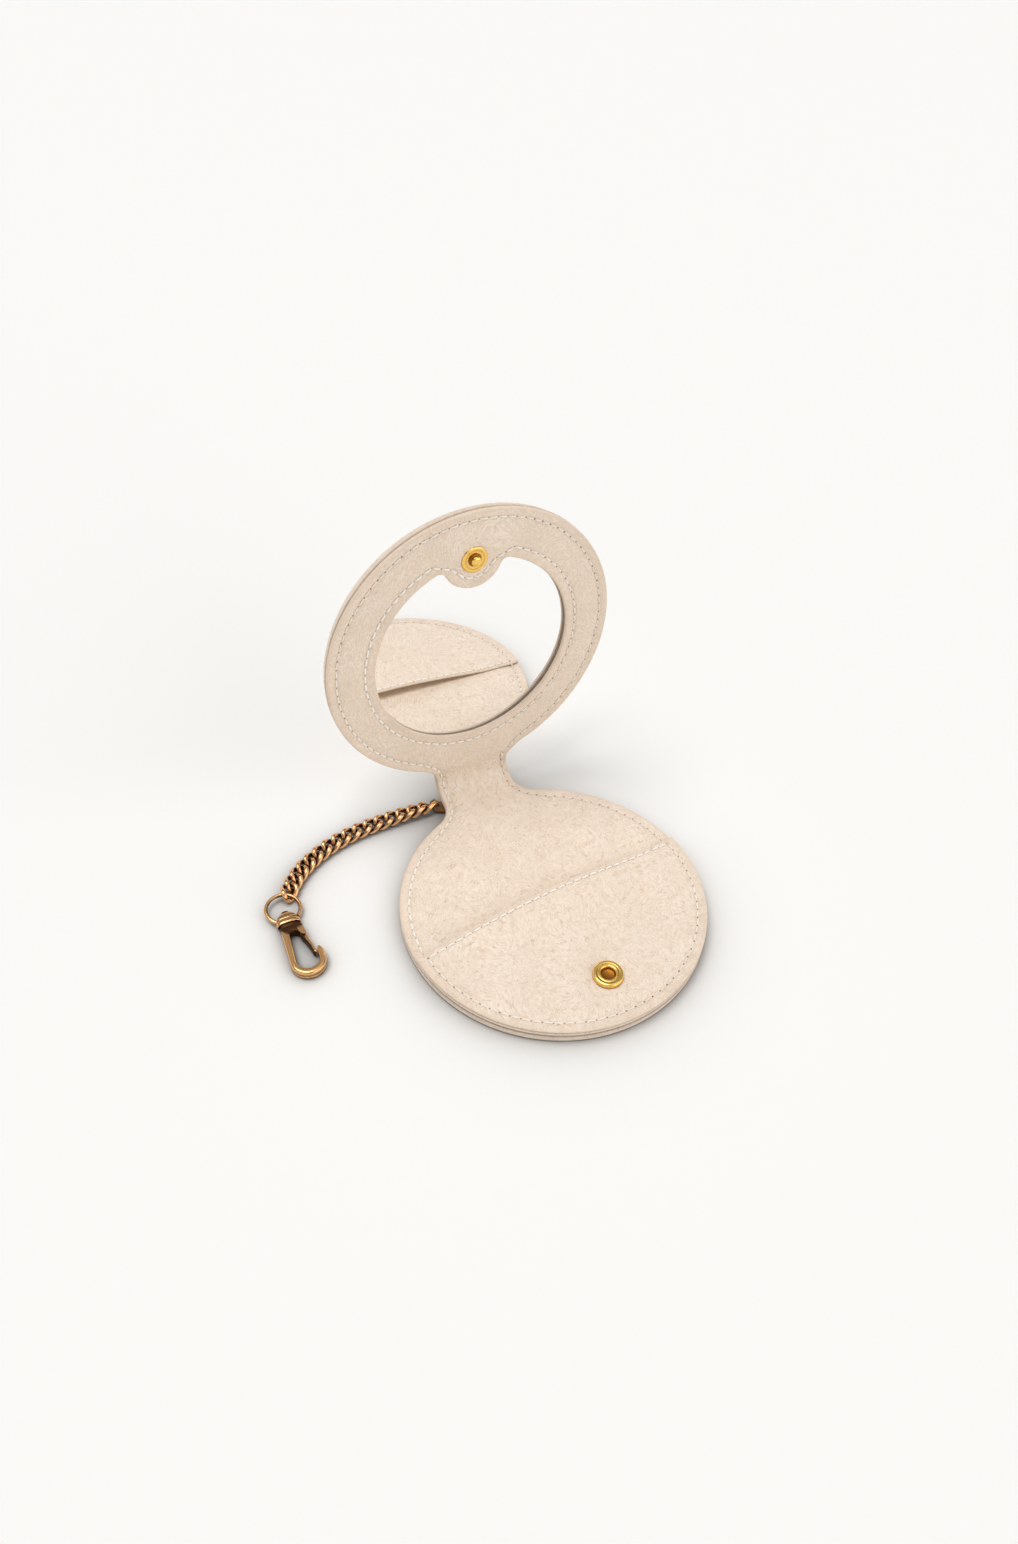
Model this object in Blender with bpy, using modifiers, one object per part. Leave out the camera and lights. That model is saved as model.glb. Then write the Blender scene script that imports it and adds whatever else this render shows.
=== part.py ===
"""Folding pocket mirror: two stitched leather discs joined by a flexible neck, a press
snap, and a curb chain that ends in a jump ring and a swivel clip. Metres, +Z up. The
pocket disc lies on the XY plane with the middle of its underside at the origin, the neck
leaves it along +Y, and the mirror disc stands up behind it on the folded neck."""

import math

import bmesh
import bpy
from mathutils import Matrix, Vector

# Discs and neck
DISC_RADIUS = 0.0400
NECK_HALF_WIDTH = 0.0110
TONGUE_REACH = 0.00383  # from a disc's rim to the nearest fold hinge
LEATHER = 0.0008
LEATHER_EDGE = 0.0002
LAYER_GAP = 0.0003
DISC_STEPS = 82
FILLET_STEPS = 6

# Pocket disc
BASE_BOARD = 0.0013
MOUTH_RISE = 0.0011  # the pocket's mouth lies this far past the disc's middle
MOUTH_BOW = 0.0007
MOUTH_SKEW = math.radians(4.5)
MOUTH_STEPS = 12

# Mirror disc
FLAP_BOARD = 0.0010
GLASS = 0.0011
GLASS_RADIUS = 0.0290
FRAME_WIDTH = 0.0128
WINDOW_SHIFT = 0.00043  # towards the neck
BUMP_RADIUS = 0.0081
BUMP_FILLET = 0.0020
BUMP_STEPS = 12

# Fold
FOLD_HINGES = 3
REST_FOLD = math.radians(88)
KNUCKLE_STEPS = 5

# Press snap
SNAP_INSET = 0.0129
SNAP_SEAT = 0.0001
SOCKET_RADIUS = 0.0039
SOCKET_BORE = 0.00195
SOCKET_HEIGHT = 0.0014
SHANK_WALL = 0.00065
STUD_FLANGE_RADIUS = 0.0035
STUD_FLANGE = 0.0005
STUD_RADIUS = 0.00155
STUD_LENGTH = 0.0013
SNAP_CLEAR = 0.0003
SNAP_STEPS = 28

# Curb chain
LINK_COUNT = 16
LINK_PITCH = 0.003275
LINK_WIRE = 0.00125
LINK_HALF_LENGTH = 0.0024
LINK_HALF_WIDTH = 0.0018
LINK_TWIST = 0.00086
LINK_POINTS = 18
TABLE_GAP = 0.00002
CHAIN_ASIDE = 0.0041  # from the neck's side to the first link's middle
CHAIN_PAST = 0.0016  # from the first fold line on, along the neck
CHAIN_HEADING = math.radians(175.7)
CHAIN_TURN = math.radians(58.93)
CHAIN_CURL = 2.07
END_ROLL = math.radians(27)
ROLLED_LINKS = 4

# Chain anchor
ANCHOR_THICKNESS = 0.0007
ANCHOR_RISE = 0.0010
ANCHOR_RIM = 0.0009
ANCHOR_EYE = 0.00095
ANCHOR_PAD = 0.0017
ANCHOR_LEAD = 0.00120  # from the first link's middle to the middle of the eye's rim
RIVET_INSIDE = 0.0045  # from the neck's side inwards
RIVET_BEFORE = 0.00193  # from the first fold line back
RIVET_RADIUS = 0.0007
RIVET_HEAD = 0.0013
RIVET_CLEAR = 0.0002

# Jump ring
RING_RADIUS = 0.00439
RING_WIRE = 0.0010
RING_LEAD = 0.00105  # from the last link's middle to the ring's centre line
RING_CUT = math.radians(10)
RING_CUT_AT = math.radians(58)
RING_POINTS = 40

# Swivel clip, along u from the ring to the hook, v across, z up
CLIP_HEADING = math.radians(-92.785)
CLIP_THICKNESS = 0.0028
CLIP_EDGE = 0.0003
EYE_FRONT = 0.00269
EYE_NARROW = 0.00135
EYE_WIDE = 0.00315
EYE_STRAP = 0.0006
EYE_BASE = 0.0009
EYE_TUNNEL_START = -0.0012
EYE_TUNNEL_END = 0.00175
EYE_REACH = 0.00338  # from the ring's middle to the clip's own origin
SHANK_RADIUS = 0.0007
SHANK_CLEAR = 0.00017
SHANK_HEAD = 0.00105
SHANK_HEAD_THICKNESS = 0.0006
HOOK_TOP = 0.00295
HOOK_BRIDGE = 0.00165
HOOK_TOP_HALF = 0.00272
HOOK_ARM = 0.0017
HOOK_CENTRE = Vector((0.01455, 0.0011))
HOOK_RADIUS = 0.0045
HOOK_BORE_CENTRE = Vector((0.0143, 0.00112))
HOOK_BORE = 0.0028
HOOK_STEPS = 18
NOSE_LENGTH = 0.0029
EAR_LENGTH = 0.00325
EAR_SIDE = 0.0031
SLOT_HALF = 0.00085
SLOT_FLOOR = 0.0011
SLOT_WALL = 0.00045
PIN_SPOT = Vector((0.0046, 0.0021))
PIN_RADIUS = 0.0004
PIN_CLEAR = 0.0002
GATE_ROOT = 0.00095
GATE_ROOT_HALF = 0.00062
GATE_HALF = 0.00115
GATE_TIP_GAP = 0.0003
GATE_TIP_WIDTH = 0.0006
GATE_BELLY = 0.0020

OVERRUN = 0.0010
CORNER_SHARE = 0.5

# Heights of the pocket disc's layers
BOARD_BOTTOM = LEATHER + LAYER_GAP
BOARD_TOP = BOARD_BOTTOM + BASE_BOARD
LINING_BOTTOM = BOARD_TOP + LAYER_GAP
LINING_TOP = LINING_BOTTOM + LEATHER
PANEL_BOTTOM = LINING_TOP + LAYER_GAP
FACE = PANEL_BOTTOM + LEATHER
TONGUE_TOP = LINING_BOTTOM - LAYER_GAP
TONGUE_BOTTOM = TONGUE_TOP - LEATHER
HINGE_LEVEL = (TONGUE_BOTTOM + LINING_TOP) / 2
KNUCKLE = (LINING_TOP - TONGUE_BOTTOM) / 2
SOCKET_FACE = KNUCKLE + LAYER_GAP
SPLIT = LAYER_GAP / 2

# Heights of the mirror disc's layers, from its outer face
FLAP_BOARD_BOTTOM = LEATHER + LAYER_GAP
FLAP_BOARD_TOP = FLAP_BOARD_BOTTOM + FLAP_BOARD
GLASS_BOTTOM = FLAP_BOARD_TOP + LAYER_GAP
GLASS_TOP = GLASS_BOTTOM + GLASS
FRAME_BOTTOM = GLASS_TOP + LAYER_GAP
FRAME_TOP = FRAME_BOTTOM + LEATHER

HINGE_DISTANCE = DISC_RADIUS + TONGUE_REACH
FILLET = (HINGE_DISTANCE**2 - DISC_RADIUS**2 + NECK_HALF_WIDTH**2) / (2 * (DISC_RADIUS - NECK_HALF_WIDTH))
CHAIN_START = Vector((-NECK_HALF_WIDTH - CHAIN_ASIDE, HINGE_DISTANCE + CHAIN_PAST))
RIVET_SPOT = Vector((RIVET_INSIDE - NECK_HALF_WIDTH, HINGE_DISTANCE - RIVET_BEFORE))
SNAP_DISTANCE = DISC_RADIUS - SNAP_INSET
BOARD_RADIUS = DISC_RADIUS - LEATHER - LAYER_GAP
CLOSED_GAP = SOCKET_HEIGHT + STUD_FLANGE + SNAP_CLEAR
CLOSED_SPREAD = FACE + FRAME_TOP - 2 * HINGE_LEVEL + CLOSED_GAP
FOLD_PITCH = CLOSED_SPREAD / sum(math.sin(k * math.pi / FOLD_HINGES) for k in range(1, FOLD_HINGES))

for old in list(bpy.data.objects):
    bpy.data.objects.remove(old, do_unlink=True)
parts = bpy.data.collections.new("keychain_mirror")
cutters = bpy.data.collections.new("cutters")
bpy.context.scene.collection.children.link(parts)
bpy.context.scene.collection.children.link(cutters)


def material(name, colour, roughness, metallic):
    made = bpy.data.materials.new(name)
    made.use_nodes = True
    shader = made.node_tree.nodes["Principled BSDF"]
    shader.inputs["Base Color"].default_value = (*colour, 1)
    shader.inputs["Roughness"].default_value = roughness
    shader.inputs["Metallic"].default_value = metallic
    return made


def finish(obj, colour, roughness, metallic=0):
    obj.data.materials.clear()
    obj.data.materials.append(material(obj.name, colour, roughness, metallic))
    obj.data.shade_smooth()
    obj.data.set_sharp_from_angle(angle=math.radians(35))
    return obj


def finish_leather(obj):
    return finish(obj, (0.80, 0.67, 0.56), 0.75)


def finish_board(obj):
    return finish(obj, (0.42, 0.34, 0.27), 0.90)


def finish_gold(obj):
    return finish(obj, (0.66, 0.39, 0.15), 0.25, 1)


def welded(obj):
    """The curve object as a mesh object whose caps are joined to its sides."""
    graph = bpy.context.evaluated_depsgraph_get()
    mesh = bpy.data.meshes.new_from_object(obj.evaluated_get(graph))
    shape = bmesh.new()
    shape.from_mesh(mesh)
    bmesh.ops.remove_doubles(shape, verts=shape.verts, dist=LAYER_GAP / DISC_STEPS)
    bmesh.ops.recalc_face_normals(shape, faces=shape.faces)
    shape.to_mesh(mesh)
    shape.free()
    name = obj.name
    matrix = obj.matrix_world.copy()
    curve = obj.data
    bpy.data.objects.remove(obj, do_unlink=True)
    bpy.data.curves.remove(curve)
    made = bpy.data.objects.new(name, mesh)
    made.matrix_world = matrix
    parts.objects.link(made)
    return made


def plate(name, loops, bottom, top, edge=0):
    """Flat outlines, the first round the outside and the rest round holes, made thick."""
    curve = bpy.data.curves.new(name, "CURVE")
    curve.dimensions = "2D"
    curve.fill_mode = "BOTH"
    curve.extrude = (top - bottom) / 2 - edge
    curve.bevel_depth = edge
    curve.offset = -edge
    curve.bevel_resolution = 0
    for loop in loops:
        spline = curve.splines.new("POLY")
        spline.points.add(len(loop) - 1)
        for point, (x, y) in zip(spline.points, loop):
            point.co = (x, y, 0, 1)
        spline.use_cyclic_u = True
    obj = bpy.data.objects.new(name, curve)
    parts.objects.link(obj)
    made = welded(obj)
    made.data.transform(Matrix.Translation((0, 0, (top + bottom) / 2)))
    return made


def turned_to(obj, x_to, y_to, z_to):
    """Turns the mesh so that its own axes lie along the three given directions."""
    turn = Matrix((x_to, y_to, z_to)).transposed().to_4x4()
    obj.data.transform(turn)
    return obj


def side_bar(name, loop, half_width):
    """A side view in (y, z) carried straight across, half_width each way along X."""
    return turned_to(plate(name, [loop], -half_width, half_width), (0, 1, 0), (0, 0, 1), (1, 0, 0))


def cross_bar(name, loop, half_width):
    """A side view in (x, z) carried straight across, half_width each way along Y."""
    return turned_to(plate(name, [loop], -half_width, half_width), (1, 0, 0), (0, 0, 1), (0, -1, 0))


def turned(name, profile, steps):
    """A closed (radius, height) profile swept once round the Z axis."""
    mesh = bpy.data.meshes.new(name)
    count = len(profile)
    edges = [(i, (i + 1) % count) for i in range(count)]
    mesh.from_pydata([(r, 0, z) for r, z in profile], edges, [])
    obj = bpy.data.objects.new(name, mesh)
    parts.objects.link(obj)
    screw = obj.modifiers.new("turn", "SCREW")
    screw.axis = "Z"
    screw.steps = steps
    screw.render_steps = steps
    screw.use_merge_vertices = True
    screw.merge_threshold = LAYER_GAP / DISC_STEPS
    screw.use_normal_calculate = True
    return welded_turn(obj)


def welded_turn(obj):
    graph = bpy.context.evaluated_depsgraph_get()
    mesh = bpy.data.meshes.new_from_object(obj.evaluated_get(graph))
    shape = bmesh.new()
    shape.from_mesh(mesh)
    bmesh.ops.remove_doubles(shape, verts=shape.verts, dist=LAYER_GAP / DISC_STEPS)
    bmesh.ops.recalc_face_normals(shape, faces=shape.faces)
    shape.to_mesh(mesh)
    shape.free()
    name = obj.name
    bpy.data.objects.remove(obj, do_unlink=True)
    made = bpy.data.objects.new(name, mesh)
    parts.objects.link(made)
    return made


def rod(name, radius, low, high, steps=SNAP_STEPS):
    return turned(name, [(0, high), (radius, high), (radius, low), (0, low)], steps)


def combine(target, tool, operation):
    """Joins, cuts or trims the target by a hidden tool that stays fixed to it."""
    tool.parent = target
    tool.hide_render = True
    tool.display_type = "WIRE"
    for holder in list(tool.users_collection):
        holder.objects.unlink(tool)
    cutters.objects.link(tool)
    step = target.modifiers.new(tool.name, "BOOLEAN")
    step.operation = operation
    step.solver = "EXACT"
    step.object = tool
    return target


def cut(target, tool):
    return combine(target, tool, "DIFFERENCE")


def join(target, tool):
    return combine(target, tool, "UNION")


def trim(target, tool):
    return combine(target, tool, "INTERSECT")


def soften(obj, width, segments=1):
    bevel = obj.modifiers.new("soft edges", "BEVEL")
    bevel.width = width
    bevel.segments = segments
    bevel.limit_method = "ANGLE"
    bevel.angle_limit = math.radians(50)
    return obj


def arc(centre, radius, start, end, steps):
    """Points on a circle from one angle to the other, both ends included."""
    angles = [start + (end - start) * i / steps for i in range(steps + 1)]
    return [(centre[0] + radius * math.cos(a), centre[1] + radius * math.sin(a)) for a in angles]


def circle(centre, radius, steps):
    return arc(centre, radius, 0, 2 * math.pi, steps)[:-1]


def mirrored(points):
    return [(x, -y) for x, y in reversed(points)]


# The neck's sides run into the disc through a fillet that ends at the first hinge.
FILLET_SPREAD = math.atan2(HINGE_DISTANCE, NECK_HALF_WIDTH + FILLET)
FILLET_X = NECK_HALF_WIDTH + FILLET


def left_fillet():
    return arc((-FILLET_X, HINGE_DISTANCE), FILLET, 0, -FILLET_SPREAD, FILLET_STEPS)


def right_fillet():
    return arc((FILLET_X, HINGE_DISTANCE), FILLET, math.pi + FILLET_SPREAD, math.pi, FILLET_STEPS)


def neck_end():
    reach = HINGE_DISTANCE + SOCKET_FACE + OVERRUN
    return [(NECK_HALF_WIDTH, reach), (-NECK_HALF_WIDTH, reach)]


def disc_and_tongue():
    rim = arc((0, 0), DISC_RADIUS, math.pi - FILLET_SPREAD, 2 * math.pi + FILLET_SPREAD, DISC_STEPS)
    return neck_end() + left_fillet() + rim[1:-1] + right_fillet()


def tongue_alone():
    inside = DISC_RADIUS - LEATHER / 2
    root = arc((0, 0), inside, math.pi - FILLET_SPREAD, FILLET_SPREAD, FILLET_STEPS * 2)
    return neck_end() + left_fillet() + root + right_fillet()


def knuckle(hinge, radius, low, high, level):
    """Points of a knuckle's round face about the hinge line, from low to high."""
    heights = [low + (high - low) * i / KNUCKLE_STEPS for i in range(KNUCKLE_STEPS + 1)]
    return [(hinge + math.sqrt(max(radius**2 - h**2, 0)), level + h) for h in heights]


def tray(name, wall_top):
    """Leather turned up round a disc: a floor and a low wall."""
    body = plate(name, [circle((0, 0), DISC_RADIUS, DISC_STEPS)], 0, wall_top, LEATHER_EDGE)
    inside = circle((0, 0), DISC_RADIUS - LEATHER, DISC_STEPS)
    return cut(body, plate(name + "_inside", [inside], LEATHER, wall_top + OVERRUN))


# ---- Fold axes: the neck bends at three lines, each turned by the same share of the fold
def empty(name, parent, location, angle):
    made = bpy.data.objects.new(name, None)
    made.parent = parent
    made.location = location
    made.rotation_euler = (angle, 0, 0)
    made.empty_display_size = KNUCKLE
    parts.objects.link(made)
    return made


def held_by(obj, parent, location=(0, 0, 0)):
    obj.parent = parent
    obj.location = location
    return obj


REST_STEP = REST_FOLD / FOLD_HINGES
fold_axes = []
for index in range(FOLD_HINGES):
    above = fold_axes[-1] if fold_axes else None
    place = (0, FOLD_PITCH, 0) if fold_axes else (0, HINGE_DISTANCE, HINGE_LEVEL)
    fold_axes.append(empty(f"fold_axis_{index + 1}", above, place, REST_STEP))

# ---- Pocket disc
low = TONGUE_BOTTOM - HINGE_LEVEL
high = LINING_TOP - HINGE_LEVEL
outer_end = knuckle(HINGE_DISTANCE, KNUCKLE, low, -SPLIT, HINGE_LEVEL)
inner_end = knuckle(HINGE_DISTANCE, KNUCKLE, SPLIT, high, HINGE_LEVEL)
far = DISC_RADIUS + OVERRUN
near = DISC_RADIUS - LEATHER - OVERRUN

outer_side = [(near, TONGUE_BOTTOM)] + outer_end + [(near, TONGUE_TOP)]
outer_tongue = plate("outer_tongue_base", [tongue_alone()], TONGUE_BOTTOM - OVERRUN, TONGUE_TOP + OVERRUN)
trim(outer_tongue, side_bar("outer_tongue_base_side", outer_side, DISC_RADIUS))
outer_leather_base = tray("outer_leather_base", TONGUE_TOP)
join(outer_leather_base, outer_tongue)
rivet_hole = rod("rivet_hole", RIVET_RADIUS + RIVET_CLEAR, 0, TONGUE_TOP + OVERRUN)
rivet_hole.location = (*RIVET_SPOT, 0)
cut(outer_leather_base, rivet_hole)
finish_leather(outer_leather_base)

base_board = plate("base_board", [circle((0, 0), BOARD_RADIUS, DISC_STEPS)], BOARD_BOTTOM, BOARD_TOP)
finish_board(base_board)

inner_leather_base = plate("inner_leather_base", [disc_and_tongue()], LINING_BOTTOM, LINING_TOP, LEATHER_EDGE)
inner_side = [(-far, LINING_BOTTOM - SPLIT)] + inner_end + [(-far, LINING_TOP + OVERRUN)]
inner_side.insert(1, (near, LINING_BOTTOM - SPLIT))
inner_side.insert(-1, (HINGE_DISTANCE, LINING_TOP + OVERRUN))
trim(inner_leather_base, side_bar("inner_leather_base_side", inner_side, far))
finish_leather(inner_leather_base)


def mouth():
    """The pocket's mouth, a slightly skewed and bowed line across the disc, left to right."""
    line = []
    for i in range(MOUTH_STEPS + 1):
        x = DISC_RADIUS * (2 * i / MOUTH_STEPS - 1)
        y = MOUTH_RISE + MOUTH_BOW * (1 - (x / DISC_RADIUS) ** 2) + x * math.tan(MOUTH_SKEW)
        line.append((x, y))
    left = math.atan2(line[0][1], line[0][0])
    right = math.atan2(line[-1][1], line[-1][0])
    return line[1:-1], left, right


mouth_line, mouth_left, mouth_right = mouth()
if mouth_left < 0:
    mouth_left += 2 * math.pi
panel_rim = arc((0, 0), DISC_RADIUS, mouth_left, 2 * math.pi + mouth_right, DISC_STEPS // 2)
panel_hole = circle((0, -SNAP_DISTANCE), SOCKET_BORE + SHANK_WALL + SNAP_SEAT, SNAP_STEPS)
panel_outline = panel_rim + list(reversed(mouth_line))
pocket_panel = plate("pocket_panel", [panel_outline, panel_hole], PANEL_BOTTOM, FACE, LEATHER_EDGE)
finish_leather(pocket_panel)

socket_seat = FACE + SNAP_SEAT
socket_top = FACE + SOCKET_HEIGHT
socket_shank = SOCKET_BORE + SHANK_WALL
socket_lip = SOCKET_HEIGHT - SNAP_SEAT
snap_socket = turned(
    "snap_socket",
    [
        (SOCKET_BORE, socket_top - socket_lip / 4),
        (SOCKET_BORE + SHANK_WALL / 2, socket_top - socket_lip / 12),
        (socket_shank, socket_top),
        (socket_shank + SHANK_WALL, socket_top - socket_lip / 12),
        (SOCKET_RADIUS - SHANK_WALL, socket_top - socket_lip / 4),
        (SOCKET_RADIUS - SHANK_WALL / 3, socket_top - socket_lip / 2),
        (SOCKET_RADIUS, socket_seat + socket_lip / 4),
        (SOCKET_RADIUS, socket_seat),
        (socket_shank, socket_seat),
        (socket_shank, PANEL_BOTTOM),
        (SOCKET_BORE, PANEL_BOTTOM),
    ],
    SNAP_STEPS,
)
snap_socket.location = (0, -SNAP_DISTANCE, 0)
finish_gold(snap_socket)

# ---- Neck: short leather segments in two layers, with a knuckle at every fold line
for index in range(1, FOLD_HINGES):
    for layer, (bottom, top) in (("outer", (low, -SPLIT)), ("inner", (SPLIT, high))):
        start = knuckle(0, SOCKET_FACE, bottom, top, 0)
        end = knuckle(FOLD_PITCH, KNUCKLE, bottom, top, 0)
        side = end + list(reversed(start))
        segment = side_bar(f"{layer}_neck_{index}", side, NECK_HALF_WIDTH)
        finish_leather(held_by(segment, fold_axes[index - 1]))

# ---- Mirror disc, drawn face up with its neck towards -Y
flap_place = (0, HINGE_DISTANCE, -HINGE_LEVEL)
flap_axis = fold_axes[-1]
outer_start = knuckle(-HINGE_DISTANCE, SOCKET_FACE, low, -SPLIT, HINGE_LEVEL)
inner_start = knuckle(-HINGE_DISTANCE, SOCKET_FACE, SPLIT, high, HINGE_LEVEL)

flap_side = [(-near, TONGUE_TOP)] + list(reversed(outer_start)) + [(-near, TONGUE_BOTTOM)]
flap_tongue = plate("outer_tongue_flap", [mirrored(tongue_alone())], TONGUE_BOTTOM - OVERRUN, TONGUE_TOP + OVERRUN)
trim(flap_tongue, side_bar("outer_tongue_flap_side", flap_side, DISC_RADIUS))
outer_leather_flap = tray("outer_leather_flap", GLASS_TOP)
join(outer_leather_flap, flap_tongue)
finish_leather(held_by(outer_leather_flap, flap_axis, flap_place))

flap_board = plate("flap_board", [circle((0, 0), BOARD_RADIUS, DISC_STEPS)], FLAP_BOARD_BOTTOM, FLAP_BOARD_TOP)
finish_board(held_by(flap_board, flap_axis, flap_place))

window_centre = (0, -WINDOW_SHIFT)
glass_outline = circle(window_centre, GLASS_RADIUS, DISC_STEPS)
mirror_glass = plate("mirror_glass", [glass_outline], GLASS_BOTTOM, GLASS_TOP)
finish(held_by(mirror_glass, flap_axis, flap_place), (0.93, 0.94, 0.94), 0.02, 1)

surround_hole = circle(window_centre, GLASS_RADIUS + LAYER_GAP, DISC_STEPS)
surround_outline = circle((0, 0), BOARD_RADIUS, DISC_STEPS)
mirror_surround = plate("mirror_surround", [surround_outline, surround_hole], GLASS_BOTTOM, GLASS_TOP)
finish_board(held_by(mirror_surround, flap_axis, flap_place))


def window():
    """A round window with a bump of leather left for the snap, its corners rounded."""
    radius = DISC_RADIUS - FRAME_WIDTH
    apart = SNAP_DISTANCE + WINDOW_SHIFT
    to_ring = radius - BUMP_FILLET
    to_bump = BUMP_RADIUS + BUMP_FILLET
    along = (apart**2 + to_ring**2 - to_bump**2) / (2 * apart)
    aside = math.sqrt(to_ring**2 - along**2)
    snap = (0, SNAP_DISTANCE)
    corner = (aside, along - WINDOW_SHIFT)
    ring_turn = math.atan2(along, aside)
    bump_turn = math.atan2(corner[1] - SNAP_DISTANCE, aside)
    away = bump_turn + math.pi
    right = arc(corner, BUMP_FILLET, ring_turn, away, FILLET_STEPS)
    bump = arc(snap, BUMP_RADIUS, bump_turn, -math.pi - bump_turn, BUMP_STEPS)
    left = [(-x, y) for x, y in reversed(right)]
    ring = arc(window_centre, radius, math.pi - ring_turn, 2 * math.pi + ring_turn, DISC_STEPS)
    return right + bump[1:-1] + left + ring[1:-1]


# The frame's tongue steps down beside the wall to meet the neck's inner layer.
shelf = -DISC_RADIUS
foot = SOCKET_FACE - HINGE_DISTANCE
frame_side = [(far, FRAME_BOTTOM - SPLIT), (far, FRAME_TOP + SPLIT), (shelf, FRAME_TOP + SPLIT)]
frame_side += [(foot, LINING_TOP)] + list(reversed(inner_start)) + [(foot, LINING_BOTTOM)]
frame_side += [(shelf, FRAME_BOTTOM - SPLIT)]
frame_blank = mirrored(disc_and_tongue())
inner_leather_flap = plate("inner_leather_flap", [frame_blank], LINING_BOTTOM - OVERRUN, FRAME_TOP, LEATHER_EDGE)
trim(inner_leather_flap, side_bar("frame_side", frame_side, far))
cut(inner_leather_flap, plate("frame_window", [window()], 0, FRAME_TOP + OVERRUN))
stud_hole = plate("stud_hole", [circle((0, SNAP_DISTANCE), STUD_RADIUS + SNAP_SEAT, SNAP_STEPS)], 0, FRAME_TOP + OVERRUN)
cut(inner_leather_flap, stud_hole)
finish_leather(held_by(inner_leather_flap, flap_axis, flap_place))

stud_seat = FRAME_TOP + SNAP_SEAT
stud_face = FRAME_TOP + STUD_FLANGE
stud_tip = stud_face + STUD_LENGTH
snap_stud = turned(
    "snap_stud",
    [
        (0, stud_tip),
        (STUD_RADIUS * 3 / 4, stud_tip),
        (STUD_RADIUS, stud_tip - STUD_LENGTH / 4),
        (STUD_RADIUS, stud_tip - STUD_LENGTH / 2),
        (STUD_RADIUS * 4 / 5, stud_tip - STUD_LENGTH * 3 / 4),
        (STUD_RADIUS * 4 / 5, stud_face),
        (STUD_FLANGE_RADIUS - STUD_FLANGE, stud_face),
        (STUD_FLANGE_RADIUS, stud_face - STUD_FLANGE / 2),
        (STUD_FLANGE_RADIUS, stud_seat),
        (STUD_RADIUS, stud_seat),
        (STUD_RADIUS, FRAME_BOTTOM),
        (0, FRAME_BOTTOM),
    ],
    SNAP_STEPS,
)
stud_place = (0, HINGE_DISTANCE + SNAP_DISTANCE, -HINGE_LEVEL)
finish_gold(held_by(snap_stud, flap_axis, stud_place))


# ---- Curb chain: every link is an oval ring twisted so that it lies flat on its neighbours
def link_points(roll=0):
    points = []
    for i in range(LINK_POINTS):
        t = 2 * math.pi * i / LINK_POINTS
        at = Vector((LINK_HALF_LENGTH * math.cos(t), LINK_HALF_WIDTH * math.sin(t), -LINK_TWIST * math.sin(2 * t)))
        points.append(Matrix.Rotation(roll, 3, "X") @ at)
    return points


def wire_loop(name, points, radius, closed):
    curve = bpy.data.curves.new(name, "CURVE")
    curve.dimensions = "3D"
    curve.bevel_depth = radius
    curve.bevel_resolution = 2
    curve.use_fill_caps = not closed
    spline = curve.splines.new("POLY")
    spline.points.add(len(points) - 1)
    for point, at in zip(spline.points, points):
        point.co = (*at, 1)
    spline.use_cyclic_u = closed
    obj = bpy.data.objects.new(name, curve)
    parts.objects.link(obj)
    return welded(obj)


def link_roll(index):
    """Both ends of the chain roll over, step by step, to hook onto flat rings."""
    lead = max(ROLLED_LINKS - index, 0) / ROLLED_LINKS
    trail = max(ROLLED_LINKS - (LINK_COUNT - 1 - index), 0) / ROLLED_LINKS
    return END_ROLL * (lead - trail)


def link_level(index):
    """Height of a link's middle when its lowest wire lies on the table."""
    drop = max(-point.z for point in link_points(link_roll(index)))
    return drop + LINK_WIRE / 2 + TABLE_GAP


headings = [CHAIN_HEADING + CHAIN_TURN * (i / (LINK_COUNT - 1)) ** CHAIN_CURL for i in range(LINK_COUNT)]
middles = [CHAIN_START.copy()]
for index in range(1, LINK_COUNT):
    middle = middles[-1].copy()
    for heading in headings[index - 1 : index + 1]:
        middle += Vector((math.cos(heading), math.sin(heading))) * LINK_PITCH / 2
    middles.append(middle)

for index in range(LINK_COUNT):
    link = wire_loop(f"link_{index + 1:02d}", link_points(link_roll(index)), LINK_WIRE / 2, True)
    # The origin moves to the joint with the piece before, half a pitch back.
    link.data.transform(Matrix.Translation((LINK_PITCH / 2, 0, 0)))
    along = Vector((math.cos(headings[index]), math.sin(headings[index])))
    link.location = (*(middles[index] - along * LINK_PITCH / 2), link_level(index))
    link.rotation_euler = (0, 0, headings[index])
    finish_gold(link)

# ---- Chain anchor: a flat tab under the neck's root, stepped up beside it to carry the first link
first_heading = Vector((math.cos(CHAIN_HEADING), math.sin(CHAIN_HEADING)))
rim_middle = CHAIN_START - first_heading * ANCHOR_LEAD
eye_spot = rim_middle - first_heading * (ANCHOR_EYE + ANCHOR_RIM / 2)
strap = eye_spot - RIVET_SPOT
strap_turn = math.atan2(strap.y, strap.x)
strap_length = strap.length
anchor_top = TONGUE_BOTTOM - LAYER_GAP
anchor_bottom = anchor_top - ANCHOR_THICKNESS
eye_radius = ANCHOR_EYE + ANCHOR_RIM
tilt = math.asin((ANCHOR_PAD - eye_radius) / strap_length)
quarter = math.pi / 2
tab = arc((0, 0), ANCHOR_PAD, quarter - tilt, 3 * quarter + tilt, DISC_STEPS // 4)
tab += arc((strap_length, 0), eye_radius, tilt - quarter, quarter - tilt, DISC_STEPS // 4)
rivet_loop = circle((0, 0), RIVET_RADIUS + RIVET_CLEAR, SNAP_STEPS // 2)
eye_loop = circle((strap_length, 0), ANCHOR_EYE, SNAP_STEPS // 2)
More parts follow.
